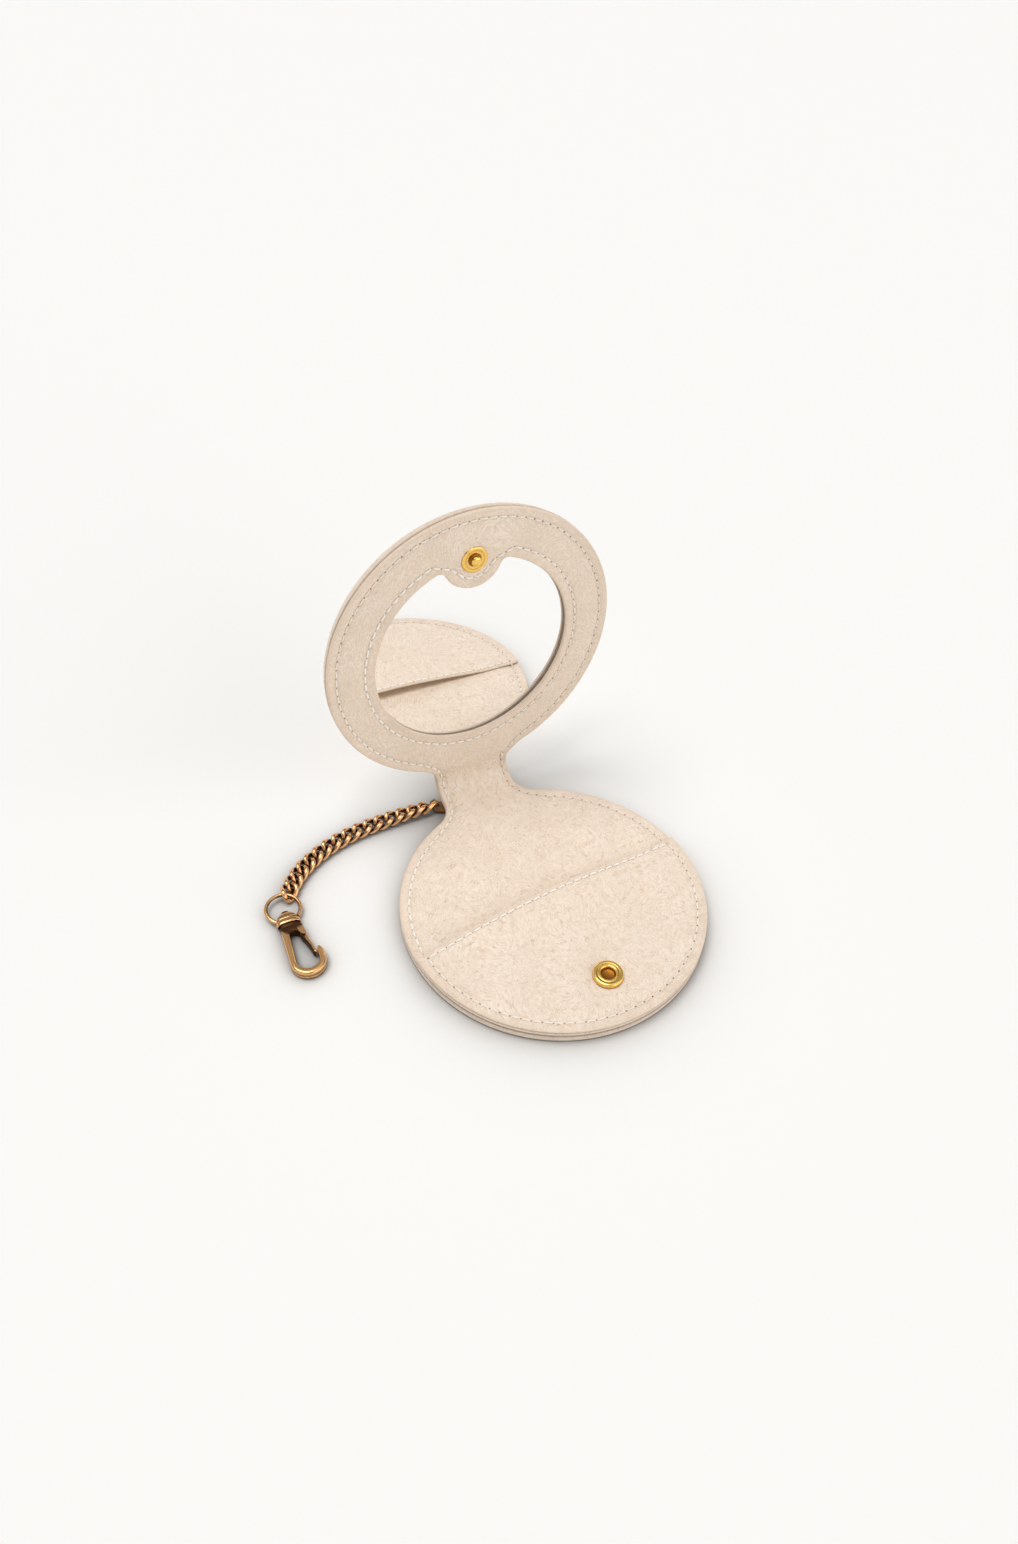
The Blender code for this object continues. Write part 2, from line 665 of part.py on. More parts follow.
neck_side = NECK_HALF_WIDTH + LAYER_GAP + RIVET_SPOT.x + eye_radius * math.sin(strap_turn)
neck_side /= -math.cos(strap_turn)
step_end = neck_side + ANCHOR_RISE
tab_side = [
    (-ANCHOR_PAD - OVERRUN, anchor_bottom),
    (neck_side, anchor_bottom),
    (step_end, anchor_bottom + ANCHOR_RISE),
    (strap_length + eye_radius + OVERRUN, anchor_bottom + ANCHOR_RISE),
    (strap_length + eye_radius + OVERRUN, anchor_top + ANCHOR_RISE),
    (step_end, anchor_top + ANCHOR_RISE),
    (neck_side, anchor_top),
    (-ANCHOR_PAD - OVERRUN, anchor_top),
]
chain_anchor = plate("chain_anchor", [tab, rivet_loop, eye_loop], 0, FACE)
trim(chain_anchor, cross_bar("chain_anchor_side", tab_side, ANCHOR_PAD + OVERRUN))
chain_anchor.location = (*RIVET_SPOT, 0)
chain_anchor.rotation_euler = (0, 0, strap_turn)
finish_gold(chain_anchor)

head_bottom = anchor_bottom - RIVET_CLEAR - RIVET_RADIUS / 2
head_top = anchor_bottom - RIVET_CLEAR
anchor_rivet = turned(
    "anchor_rivet",
    [
        (0, TONGUE_TOP),
        (RIVET_RADIUS, TONGUE_TOP),
        (RIVET_RADIUS, head_top),
        (RIVET_HEAD, head_top),
        (RIVET_HEAD * CORNER_SHARE, head_bottom),
        (0, head_bottom),
    ],
    SNAP_STEPS // 2,
)
anchor_rivet.location = (*RIVET_SPOT, 0)
finish_gold(anchor_rivet)

# ---- Jump ring: a cut ring that hangs on the last link and lies in the swivel's tunnel
clip_level = CLIP_THICKNESS / 2 + TABLE_GAP
last_heading = Vector((math.cos(headings[-1]), math.sin(headings[-1])))
ring_middle = middles[-1] + last_heading * (RING_LEAD + RING_RADIUS)
clip_along = Vector((math.cos(CLIP_HEADING), math.sin(CLIP_HEADING)))
clip_origin = ring_middle + clip_along * EYE_REACH
ring_level = clip_level
last_level = link_level(LINK_COUNT - 1)
ring_tilt = math.asin((last_level - ring_level) / (2 * RING_RADIUS))
ring_sweep = 2 * math.pi - RING_CUT
ring_points = []
for i in range(RING_POINTS + 1):
    a = RING_CUT_AT + ring_sweep * i / RING_POINTS
    ring_points.append((RING_RADIUS * math.cos(a), RING_RADIUS * math.sin(a), 0))
jump_ring = wire_loop("jump_ring", ring_points, RING_WIRE / 2, False)
# The origin moves to the place where the ring crosses the last link.
back = Vector((-math.cos(headings[-1] - CLIP_HEADING), -math.sin(headings[-1] - CLIP_HEADING), 0))
jump_ring.data.transform(Matrix.Translation(-back * RING_RADIUS))
jump_ring.data.transform(Matrix.Rotation(ring_tilt, 4, "Y"))
ring_height = (ring_level + last_level) / 2
lift = Matrix.Rotation(ring_tilt, 3, "Y") @ (back * RING_RADIUS)
jump_ring.location = (*(ring_middle - last_heading * RING_RADIUS), ring_height + lift.z)
jump_ring.rotation_euler = (0, 0, CLIP_HEADING)
finish_gold(jump_ring)

# ---- Swivel eye: an arched bell that the ring runs through, with a headed shank
clip_frame = bpy.data.objects.new("clip_frame", None)
clip_frame.location = (*clip_origin, clip_level)
clip_frame.rotation_euler = (0, 0, CLIP_HEADING)
parts.objects.link(clip_frame)
clip_half = CLIP_THICKNESS / 2
eye_back = EYE_TUNNEL_END + EYE_BASE
tunnel_half = clip_half - EYE_STRAP
round_front = arc((clip_half - EYE_FRONT, 0), clip_half, 3 * quarter, quarter, DISC_STEPS // 6)
bell_side = round_front + [(eye_back, clip_half), (eye_back, -clip_half)]
bell_plan = [
    (-EYE_FRONT - OVERRUN, -EYE_NARROW),
    (-EYE_FRONT + EYE_NARROW, -EYE_NARROW),
    (EYE_TUNNEL_END - EYE_BASE, -EYE_WIDE),
    (eye_back + OVERRUN, -EYE_WIDE),
    (eye_back + OVERRUN, EYE_WIDE),
    (EYE_TUNNEL_END - EYE_BASE, EYE_WIDE),
    (-EYE_FRONT + EYE_NARROW, EYE_NARROW),
    (-EYE_FRONT - OVERRUN, EYE_NARROW),
]
tunnel_front = arc((EYE_TUNNEL_START + tunnel_half, 0), tunnel_half, 3 * quarter, quarter, DISC_STEPS // 8)
tunnel_back = arc((EYE_TUNNEL_END - tunnel_half, 0), tunnel_half, quarter, -quarter, DISC_STEPS // 8)
swivel_eye = cross_bar("swivel_eye", bell_side, EYE_WIDE + OVERRUN)
trim(swivel_eye, plate("bell_plan", [bell_plan], -CLIP_THICKNESS, CLIP_THICKNESS))
soften(swivel_eye, CLIP_EDGE)
cut(swivel_eye, cross_bar("eye_tunnel", tunnel_front + tunnel_back, EYE_WIDE + 2 * OVERRUN))
bridge_end = HOOK_TOP + HOOK_BRIDGE
head_start = bridge_end + LAYER_GAP
head_end = head_start + SHANK_HEAD_THICKNESS
shank = turned(
    "swivel_shank",
    [
        (0, head_end),
        (SHANK_HEAD * CORNER_SHARE, head_end),
        (SHANK_HEAD, head_start),
        (SHANK_RADIUS, head_start),
        (SHANK_RADIUS, eye_back - EYE_BASE / 2),
        (0, eye_back - EYE_BASE / 2),
    ],
    SNAP_STEPS,
)
turned_to(shank, (0, 1, 0), (0, 0, 1), (1, 0, 0))
join(swivel_eye, shank)
finish_gold(held_by(swivel_eye, clip_frame))

# ---- Clip body: a hook with a straight arm, a round bend and a nose, and ears for the gate
nose_top = HOOK_CENTRE.y + HOOK_RADIUS
nose_bottom = HOOK_BORE_CENTRE.y + HOOK_BORE
nose_radius = (nose_top - nose_bottom) / 2
nose_end = HOOK_CENTRE.x - NOSE_LENGTH
bend = arc(HOOK_CENTRE, HOOK_RADIUS, -quarter, quarter, HOOK_STEPS)
nose = arc((nose_end, nose_top - nose_radius), nose_radius, quarter, 3 * quarter, FILLET_STEPS)
bore = arc(HOOK_BORE_CENTRE, HOOK_BORE, quarter, -quarter, HOOK_STEPS)
arm_inner = -HOOK_TOP_HALF + HOOK_ARM
throat = arm_inner + HOOK_ARM / 4
ear_end = HOOK_TOP + EAR_LENGTH
hook_outline = [(HOOK_TOP, -HOOK_TOP_HALF)] + bend + nose + bore
hook_outline += [
    (bridge_end + HOOK_ARM / 2, arm_inner - HOOK_ARM / 6),
    (bridge_end, arm_inner - HOOK_ARM / 12),
    (bridge_end, SLOT_FLOOR + LAYER_GAP / 2),
    (ear_end - EAR_LENGTH / 4, SLOT_FLOOR + LAYER_GAP / 2),
    (ear_end, PIN_SPOT.y),
    (ear_end, EAR_SIDE - CLIP_EDGE),
    (ear_end - EAR_LENGTH / 6, EAR_SIDE),
    (HOOK_TOP, HOOK_TOP_HALF),
]
clip_body = plate("clip_body", [hook_outline], -clip_half, clip_half, CLIP_EDGE)
slot = [
    (HOOK_TOP + SLOT_WALL, SLOT_FLOOR),
    (ear_end + OVERRUN, SLOT_FLOOR - OVERRUN / 2),
    (ear_end + OVERRUN, EAR_SIDE + OVERRUN),
    (HOOK_TOP + SLOT_WALL, EAR_SIDE + OVERRUN),
]
cut(clip_body, plate("gate_slot", [slot], -SLOT_HALF, SLOT_HALF))
shank_bore = rod("shank_bore", SHANK_RADIUS + SHANK_CLEAR, HOOK_TOP - OVERRUN, bridge_end + OVERRUN)
turned_to(shank_bore, (0, 1, 0), (0, 0, 1), (1, 0, 0))
cut(clip_body, shank_bore)
pin_bore = rod("pin_bore", PIN_RADIUS + PIN_CLEAR / 2, -CLIP_THICKNESS, CLIP_THICKNESS, SNAP_STEPS // 2)
pin_bore.location = (*PIN_SPOT, 0)
cut(clip_body, pin_bore)
finish_gold(held_by(clip_body, clip_frame))

gate_pin = rod("gate_pin", PIN_RADIUS, -clip_half, clip_half, SNAP_STEPS // 2)
finish_gold(held_by(gate_pin, clip_frame, (*PIN_SPOT, 0)))

# ---- Gate: a sprung lever, thin between the ears and full thickness beyond them
tip_outer = nose_bottom - GATE_TIP_GAP - PIN_SPOT.y
tip_end = HOOK_CENTRE.x - NOSE_LENGTH / 2 - PIN_SPOT.x
neck_start = ear_end + LAYER_GAP - PIN_SPOT.x
shoulder = EAR_SIDE - PIN_SPOT.y - CLIP_EDGE / 2
root_lower = GATE_ROOT * 7 / 8
lever = [
    (0, shoulder - CLIP_EDGE),
    (0, -root_lower),
    (neck_start, -root_lower),
    (GATE_BELLY + neck_start, GATE_TIP_GAP),
    (tip_end * 3 / 4, tip_outer - GATE_TIP_WIDTH),
    (tip_end, tip_outer - GATE_TIP_WIDTH),
    (tip_end + CLIP_EDGE, tip_outer - GATE_TIP_WIDTH / 2),
    (tip_end, tip_outer),
    (neck_start, shoulder),
]
root = plate("gate_root", [circle((0, 0), GATE_ROOT, SNAP_STEPS)], -GATE_ROOT_HALF, GATE_ROOT_HALF)
stem = plate("gate_stem", [lever], -GATE_ROOT_HALF, GATE_ROOT_HALF)
thick = [point for point in lever if point[0] >= neck_start]
gate = plate("gate", [thick], -GATE_HALF, GATE_HALF, CLIP_EDGE)
join(gate, stem)
join(gate, root)
cut(gate, rod("gate_bore", PIN_RADIUS + PIN_CLEAR, -CLIP_THICKNESS, CLIP_THICKNESS, SNAP_STEPS // 2))
finish_gold(held_by(gate, clip_frame, (*PIN_SPOT, 0)))
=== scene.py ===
import math

import bmesh
import bpy
import numpy as np
from mathutils import Matrix, Vector


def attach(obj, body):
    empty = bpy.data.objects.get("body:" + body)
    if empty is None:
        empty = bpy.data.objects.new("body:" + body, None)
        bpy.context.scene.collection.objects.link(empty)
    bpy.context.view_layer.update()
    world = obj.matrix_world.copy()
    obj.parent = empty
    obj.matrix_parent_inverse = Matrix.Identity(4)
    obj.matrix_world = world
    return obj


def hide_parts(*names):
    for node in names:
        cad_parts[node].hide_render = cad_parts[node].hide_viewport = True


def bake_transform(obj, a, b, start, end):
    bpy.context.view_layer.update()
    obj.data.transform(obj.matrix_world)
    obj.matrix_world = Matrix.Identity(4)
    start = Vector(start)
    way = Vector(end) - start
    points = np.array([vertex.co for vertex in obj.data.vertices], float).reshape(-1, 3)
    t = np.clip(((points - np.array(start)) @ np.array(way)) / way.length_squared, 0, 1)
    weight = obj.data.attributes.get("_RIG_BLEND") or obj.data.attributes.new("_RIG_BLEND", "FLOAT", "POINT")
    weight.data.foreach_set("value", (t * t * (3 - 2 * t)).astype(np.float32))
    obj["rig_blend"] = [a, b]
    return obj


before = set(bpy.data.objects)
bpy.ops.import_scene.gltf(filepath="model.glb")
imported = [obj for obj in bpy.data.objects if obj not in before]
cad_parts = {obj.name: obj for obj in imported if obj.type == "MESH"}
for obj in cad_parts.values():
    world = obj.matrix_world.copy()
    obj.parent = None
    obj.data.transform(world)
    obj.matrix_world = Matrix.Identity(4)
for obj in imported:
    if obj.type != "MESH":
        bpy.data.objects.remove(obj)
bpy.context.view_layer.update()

mm = 0.001

# Every shape below is worked out in millimetres, as rows by columns of points.
# Leather is laid out flat along +Y first and then folded at the neck.
layout = {
    "discRadius": 40.0,
    "neckHalf": 11.0,
    "hingeY": 43.83,
    "hingeZ": 2.55,
    "foldPitch": 3.6373,
    "restFold": 88.0,
    "snapFromMiddle": 27.1,
}
discRadius, neckHalf = layout["discRadius"], layout["neckHalf"]
hingeY, snapFromMiddle = layout["hingeY"], layout["snapFromMiddle"]
foldHalf = layout["foldPitch"] / 2
hingeLines = [hingeY + k * layout["foldPitch"] for k in range(3)]
neckStart = hingeLines[0] - foldHalf
neckEnd = hingeLines[2] + foldHalf
flapMiddle = hingeLines[2] + hingeY
foldRadius = foldHalf / math.tan(math.radians(layout["restFold"] / 6))


def eased(value):
    share = np.clip(value, 0, 1)
    return share * share * (3 - 2 * share)


def hump(off, width):
    # One in the middle, falling off smoothly over the width.
    return np.exp(-((off / width) ** 2))


def unit(vectors):
    return vectors / np.linalg.norm(vectors, axis=-1, keepdims=True)


def folded(points):
    # Flat layout to real place: the neck follows an arc that touches the middle of
    # each segment between two fold lines, and the rest goes straight on from it.
    points = np.asarray(points, float)
    share = np.clip((points[..., 1] - neckStart) / (neckEnd - neckStart), 0, 1)
    turn = math.radians(layout["restFold"]) * share
    before = np.minimum(points[..., 1], neckStart)
    after = np.clip(points[..., 1] - neckEnd, 0, None)
    inside = foldRadius - (points[..., 2] - layout["hingeZ"])
    y = before + inside * np.sin(turn) + after * np.cos(turn)
    z = layout["hingeZ"] + foldRadius - inside * np.cos(turn) + after * np.sin(turn)
    return np.stack([points[..., 0], y, z], axis=-1)


def gridFaces(rows, columns, wrapRows=False, wrapColumns=True):
    # Quads between neighbouring points, round the end where the grid is closed.
    a, b = np.meshgrid(
        np.arange(rows if wrapRows else rows - 1),
        np.arange(columns if wrapColumns else columns - 1),
        indexing="ij",
    )
    up, right = (a + 1) % rows, (b + 1) % columns
    quads = [a * columns + b, a * columns + right, up * columns + right, up * columns + b]
    return np.stack(quads, axis=-1).reshape(-1, 4)


def addPiece(name, points, faces, finish, masks=None, sharpAngle=40):
    mesh = bpy.data.meshes.new(name)
    mesh.from_pydata(np.asarray(points).reshape(-1, 3) * mm, [], faces)
    for key, values in (masks or {}).items():
        layer = mesh.attributes.new(key, "FLOAT", "POINT")
        layer.data.foreach_set("value", np.asarray(values, np.float32).ravel())
    shape = bmesh.new()
    shape.from_mesh(mesh)
    bmesh.ops.remove_doubles(shape, verts=shape.verts, dist=1e-7)
    bmesh.ops.dissolve_degenerate(shape, edges=shape.edges, dist=1e-8)
    bmesh.ops.recalc_face_normals(shape, faces=shape.faces)
    shape.to_mesh(mesh)
    shape.free()
    mesh.shade_smooth()
    mesh.set_sharp_from_angle(angle=math.radians(sharpAngle))
    mesh.materials.append(finish)
    piece = bpy.data.objects.new(name, mesh)
    bpy.context.scene.collection.objects.link(piece)
    return piece


def place(piece, body, slot, *nodes):
    # Puts a finished piece on its body and in its nodes' stead; its slot is not used.
    if nodes:
        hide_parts(*nodes)
    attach(piece, body)


def stacked(xy, z):
    return np.concatenate([xy, z[..., None]], axis=-1)


def nearest(points, curve):
    # Distance from each point to a densely drawn curve, in blocks to save memory.
    flat = points.reshape(-1, points.shape[-1])
    found = [
        np.sqrt(((block[:, None] - curve[None]) ** 2).sum(-1)).min(1)
        for block in np.array_split(flat, max(1, len(flat) // 3000))
    ]
    return np.concatenate(found).reshape(points.shape[:-1])


def evenly(line, count):
    # The same line with a set number of points at even steps, ends kept.
    gaps = np.linalg.norm(np.diff(line, axis=0), axis=1)
    along = np.concatenate([[0], np.cumsum(gaps)])
    wanted = np.linspace(0, along[-1], count)
    return np.stack([np.interp(wanted, along, line[:, k]) for k in range(line.shape[1])], 1)


def resampled(line, step):
    length = np.linalg.norm(np.diff(line, axis=0), axis=1).sum()
    return evenly(line, max(2, int(round(length / step)) + 1))


def arcLine(centre, radius, start, end, count):
    angle = np.radians(np.linspace(start, end, count))
    return np.stack([centre[0] + radius * np.cos(angle), centre[1] + radius * np.sin(angle)], 1)


# Materials. Shared effects are node groups that give out masks and heights.
def makeMaterial(name, **sockets):
    made = bpy.data.materials.new(name)
    made.use_nodes = True
    shader = made.node_tree.nodes["Principled BSDF"]
    for key, value in sockets.items():
        shader.inputs[key].default_value = value
    return made, made.node_tree, shader


def addNode(tree, kind, inputs=None, **settings):
    # A node with its settings, each input either a value or another node's output.
    made = tree.nodes.new(kind)
    for key, value in settings.items():
        setattr(made, key, value)
    for key, value in (inputs or {}).items():
        if isinstance(value, bpy.types.NodeSocket):
            tree.links.new(value, made.inputs[key])
        else:
            made.inputs[key].default_value = value
    return made


def calc(tree, operation, a, b=0.0, c=0.0):
    return addNode(tree, "ShaderNodeMath", {0: a, 1: b, 2: c}, operation=operation).outputs[0]


def ranged(tree, value, low, high, bottom=0.0, top=1.0):
    inputs = {"Value": value, 1: low, 2: high, 3: bottom, 4: top}
    return addNode(tree, "ShaderNodeMapRange", inputs).outputs[0]


def mixed(tree, share, a, b):
    made = addNode(tree, "ShaderNodeMix", {0: share, 6: a, 7: b}, data_type="RGBA")
    return made.outputs[2]


def noise(tree, where, scale, detail, output="Fac"):
    inputs = {"Vector": where, "Scale": scale, "Detail": detail}
    return addNode(tree, "ShaderNodeTexNoise", inputs).outputs[output]


def objectPlace(tree):
    return addNode(tree, "ShaderNodeTexCoord").outputs["Object"]


def mark(tree, name):
    return addNode(tree, "ShaderNodeAttribute", attribute_name=name).outputs["Fac"]


def bumped(tree, height, strength, distance):
    inputs = {"Height": height, "Strength": strength, "Distance": distance}
    return addNode(tree, "ShaderNodeBump", inputs).outputs[0]


def feed(tree, shader, colour, roughness=None, normal=None):
    # Connects what a material has worked out to its shader.
    for name, value in (("Base Color", colour), ("Roughness", roughness), ("Normal", normal)):
        if value is not None:
            tree.links.new(value, shader.inputs[name])


def newGroup(name, numbers, outputs):
    # A group that takes a place and some numbers, each with its usual value.
    group = bpy.data.node_groups.new(name, "ShaderNodeTree")
    face = group.interface
    face.new_socket("Place", in_out="INPUT", socket_type="NodeSocketVector")
    for label, value in numbers.items():
        socket = face.new_socket(label, in_out="INPUT", socket_type="NodeSocketFloat")
        socket.default_value = value
    for label in outputs:
        face.new_socket(label, in_out="OUTPUT", socket_type="NodeSocketFloat")
    return group, group.nodes.new("NodeGroupInput"), group.nodes.new("NodeGroupOutput")


# Scales are per metre, as the noises read Object coordinates.
napLook = {
    "swayScale": 70.0,
    "strandScale": 1350.0,
    "strandStretch": (1.5, 0.85, 0.85),
    "strandRange": (0.40, 0.60),
    "wrinkleScale": 340.0,
    "wrinkleBands": 66.0,
    "patchScale": 620.0,
    "patchRange": (0.44, 0.60),
    "pebbleScale": 1450.0,
    "furrowWidth": 0.22,
    "cloudScale": 130.0,
    "grainScale": 3600.0,
    "grainHeight": 0.4,
    "wrinkleHeight": -0.9,
    "poreScale": 640.0,
    "poreRange": (0.70, 0.78),
}


def buildNap():
    # Nubuck: short hair strokes whose direction swirls slowly, fine wrinkles that
    # follow the contour lines of a noise, the furrows between small pebbles, soft
    # blotches and a few pores. Pebbled goes from smooth, 0, to pebbled, 1.
    look = napLook
    group, given, out = newGroup(
        "nubuckNap",
        {"Swirl": 0.020, "Fineness": 1.0, "Pebbled": 0.0},
        ["Strands", "Wrinkles", "Cloud", "Pores", "Height"],
    )
    where = given.outputs["Place"]

    def vector(operation, inputs):
        return addNode(group, "ShaderNodeVectorMath", inputs, operation=operation).outputs[0]

    sway = noise(group, where, look["swayScale"], 1.5, "Color")
    moved = vector("SCALE", {0: sway, 3: given.outputs["Swirl"]})
    warped = vector("ADD", {0: where, 1: moved})
    sized = vector("SCALE", {0: warped, 3: given.outputs["Fineness"]})
    stretched = addNode(group, "ShaderNodeMapping", {"Vector": sized, "Scale": look["strandStretch"]})
    strands = noise(group, stretched.outputs[0], look["strandScale"], 2.0)
    strokes = ranged(group, strands, *look["strandRange"])

    swirl = noise(group, sized, look["wrinkleScale"], 1.5)
    lines = calc(group, "SINE", calc(group, "MULTIPLY", swirl, look["wrinkleBands"]))
    patch = noise(group, where, look["patchScale"], 2.0)
    patches = ranged(group, patch, *look["patchRange"])
    wrinkles = calc(group, "MULTIPLY", ranged(group, lines, 0.1, 1.0), patches)

    cells = addNode(
        group,
        "ShaderNodeTexVoronoi",
        {"Vector": sized, "Scale": look["pebbleScale"]},
        feature="DISTANCE_TO_EDGE",
    )
    furrows = ranged(group, cells.outputs["Distance"], 0.0, look["furrowWidth"], 1.0, 0.0)
    wrinkles = calc(group, "MAXIMUM", wrinkles, calc(group, "MULTIPLY", furrows, given.outputs["Pebbled"]))

    cloud = noise(group, where, look["cloudScale"], 4.0)
    grain = noise(group, where, look["grainScale"], 2.0)
    pores = noise(group, where, look["poreScale"], 1.0)
    height = calc(group, "MULTIPLY_ADD", grain, look["grainHeight"], strokes)
    for label, value in (
        ("Strands", strokes),
        ("Wrinkles", wrinkles),
        ("Cloud", cloud),
        ("Pores", ranged(group, pores, *look["poreRange"])),
        ("Height", calc(group, "MULTIPLY_ADD", wrinkles, look["wrinkleHeight"], height)),
    ):
        group.links.new(value, out.inputs[label])
    return group


tarnishShadeLook = {
    "speckleScale": 1100.0,
    "patchScale": 330.0,
    "patchShare": 0.35,
    "maskRange": (0.45, 1.05),
    "fineScale": 2600.0,
}


def buildTarnishShade():
    # Tarnish and painted shade: darkest where a recess or shaded side is marked, broken up by two sizes of
    # speckle.
    look = tarnishShadeLook
    group, given, out = newGroup("tarnishShadeMask", {"ShadeAndTarnish": 0.0, "Spread": 0.5}, ["Mask", "Height"])
    where = given.outputs["Place"]
    speckle = noise(group, where, look["speckleScale"], 4.0)
    patch = noise(group, where, look["patchScale"], 2.0)
    both = calc(group, "MULTIPLY_ADD", patch, look["patchShare"], speckle)
    stained = calc(group, "MULTIPLY_ADD", both, given.outputs["Spread"], given.outputs["ShadeAndTarnish"])
    group.links.new(ranged(group, stained, *look["maskRange"]), out.inputs["Mask"])
    fine = noise(group, where, look["fineScale"], 2.0)
    group.links.new(fine, out.inputs["Height"])
    return group


napGroup = buildNap()
tarnishShadeGroup = buildTarnishShade()

leatherLook = {
    "light": (0.960, 0.848, 0.728, 1),
    "deep": (0.925, 0.798, 0.668, 1),
    "stroke": (0.690, 0.520, 0.380, 1),
    "pore": (0.55, 0.38, 0.25, 1),
    # edge: the edges' own tone, darkened further as painted shade on their sides
    "edge": (0.80, 0.635, 0.495, 1),
    # shade: painted shade in creases, at the foot of rolled edges and along seams
    "shade": (0.20, 0.115, 0.065, 1),
    "roughness": 0.74,
    "strandRoughness": 0.12,
    "cloudRange": (0.30, 0.70),
    "strokeShare": 0.27,
    "wrinkleShare": 0.42,
    "poreShare": 0.30,
    "edgeShare": 0.5,
    "creaseShadeShare": 0.7,
    "bump": 0.60,
    "bumpDistance": 0.00008,
}


def leatherMaterial(name, fineness, darker, pebbled, wrinkled):
    # Darker shifts the blotches, pebbled and wrinkled set how much of each shows.
    look = leatherLook
    made, tree, shader = makeMaterial(
        name,
        **{"Sheen Weight": 0.10, "Sheen Roughness": 0.5, "Specular IOR Level": 0.25},
    )
    inputs = {"Place": objectPlace(tree), "Fineness": fineness, "Pebbled": pebbled}
    nap = addNode(tree, "ShaderNodeGroup", inputs, node_tree=napGroup)
    strands = nap.outputs["Strands"]
    cloud = ranged(tree, nap.outputs["Cloud"], *look["cloudRange"], darker, 1.0)
    tone = mixed(tree, cloud, look["light"], look["deep"])
    strokes = calc(tree, "MULTIPLY", strands, look["strokeShare"])
    strokes = calc(tree, "MULTIPLY_ADD", nap.outputs["Wrinkles"], look["wrinkleShare"] * wrinkled, strokes)
    tone = mixed(tree, strokes, tone, look["stroke"])
    # Pores are the leather's own; the edge tone is partly the edges' own colour and partly painted shade;
    # the shade tone is painted shade.
    for share, value, colour in (
        ("poreShare", nap.outputs["Pores"], "pore"),
        ("edgeShare", mark(tree, "edge"), "edge"),
        ("creaseShadeShare", mark(tree, "creaseShade"), "shade"),
    ):
        tone = mixed(tree, calc(tree, "MULTIPLY", value, look[share]), tone, look[colour])
    rough = calc(tree, "MULTIPLY_ADD", strands, look["strandRoughness"], look["roughness"])
    normal = bumped(tree, nap.outputs["Height"], look["bump"], look["bumpDistance"])
    feed(tree, shader, tone, rough, normal)
    return made


def mottledMaterial(name, low, high, scale, roughness, bump, **sockets):
    # One colour wandering between two, with a fine bump.
    made, tree, shader = makeMaterial(name, Roughness=roughness, **sockets)
    spots = noise(tree, objectPlace(tree), scale, 4.0)
    normal = bumped(tree, spots, bump, 0.0001) if bump else None
    feed(tree, shader, mixed(tree, spots, low, high), normal=normal)
    return made


threadLook = {
    "dark": (0.99, 0.955, 0.90, 1),
    "light": (1.0, 0.985, 0.95, 1),
    "sunk": (0.90, 0.79, 0.68, 1),
    "twistScale": 700.0,
    "bump": 0.4,
    "bumpDistance": 0.00008,
}


def threadMaterial():
    # Twisted cream thread, tinted like the leather where it is pulled deep into it.
    look = threadLook
    made, tree, shader = makeMaterial("creamThread", **{"Sheen Weight": 0.2, "Specular IOR Level": 0.3})
    inputs = {"Vector": objectPlace(tree), "Scale": look["twistScale"], "Distortion": 2.0}
    wave = addNode(tree, "ShaderNodeTexWave", inputs, bands_direction="DIAGONAL")
    twist = wave.outputs["Fac"]
    cream = mixed(tree, twist, look["dark"], look["light"])
    sunk = mixed(tree, mark(tree, "buried"), cream, look["sunk"])
    rough = calc(tree, "MULTIPLY_ADD", twist, 0.15, 0.55)
    feed(tree, shader, sunk, rough, bumped(tree, twist, look["bump"], look["bumpDistance"]))
    return made


def metalMaterial(name, bright, dark, roughness, spread, paintedShade=0.0):
    # Polished crests; marked recesses and shaded sides darkened, partly as tarnish and partly as painted
    # shade.
    made, tree, shader = makeMaterial(name, Metallic=1.0)
    shadeAndTarnish = calc(tree, "ADD", mark(tree, "shadeAndTarnish"), paintedShade)
    inputs = {"Place": objectPlace(tree), "ShadeAndTarnish": shadeAndTarnish, "Spread": spread}
    darkened = addNode(tree, "ShaderNodeGroup", inputs, node_tree=tarnishShadeGroup).outputs
    tone = mixed(tree, darkened["Mask"], bright, dark)
    rough = calc(tree, "MULTIPLY_ADD", darkened["Mask"], 0.25, roughness)
    feed(tree, shader, tone, rough, bumped(tree, darkened["Height"], 0.25, 0.00003))
    return made


faceLeather = leatherMaterial("faceLeather", 1.0, 0.0, 0.20, 1.35)
frameLeather = leatherMaterial("frameLeather", 1.0, 0.0, 0.80, 1.0)
shellLeather = leatherMaterial("shellLeather", 0.85, 0.25, 0.0, 1.0)
creamThread = threadMaterial()
# each with its two colours and the scale, roughness and bump of the mottling
boardMaterial = mottledMaterial(
    "greyBoard", (0.42, 0.31, 0.22, 1), (0.60, 0.47, 0.36, 1), 1500.0, 0.9, 0.4
)
# the needle holes' dark colour is painted shade
holeShadeMaterial = mottledMaterial(
    "needleHoleShade", (0.26, 0.15, 0.075, 1), (0.42, 0.26, 0.14, 1), 900.0, 0.9, 0.0
)
silvered = mottledMaterial(
    "silvered", (0.985, 0.985, 0.985, 1), (0.995, 0.995, 0.995, 1), 40.0, 0.0, 0.0, Metallic=1.0
)
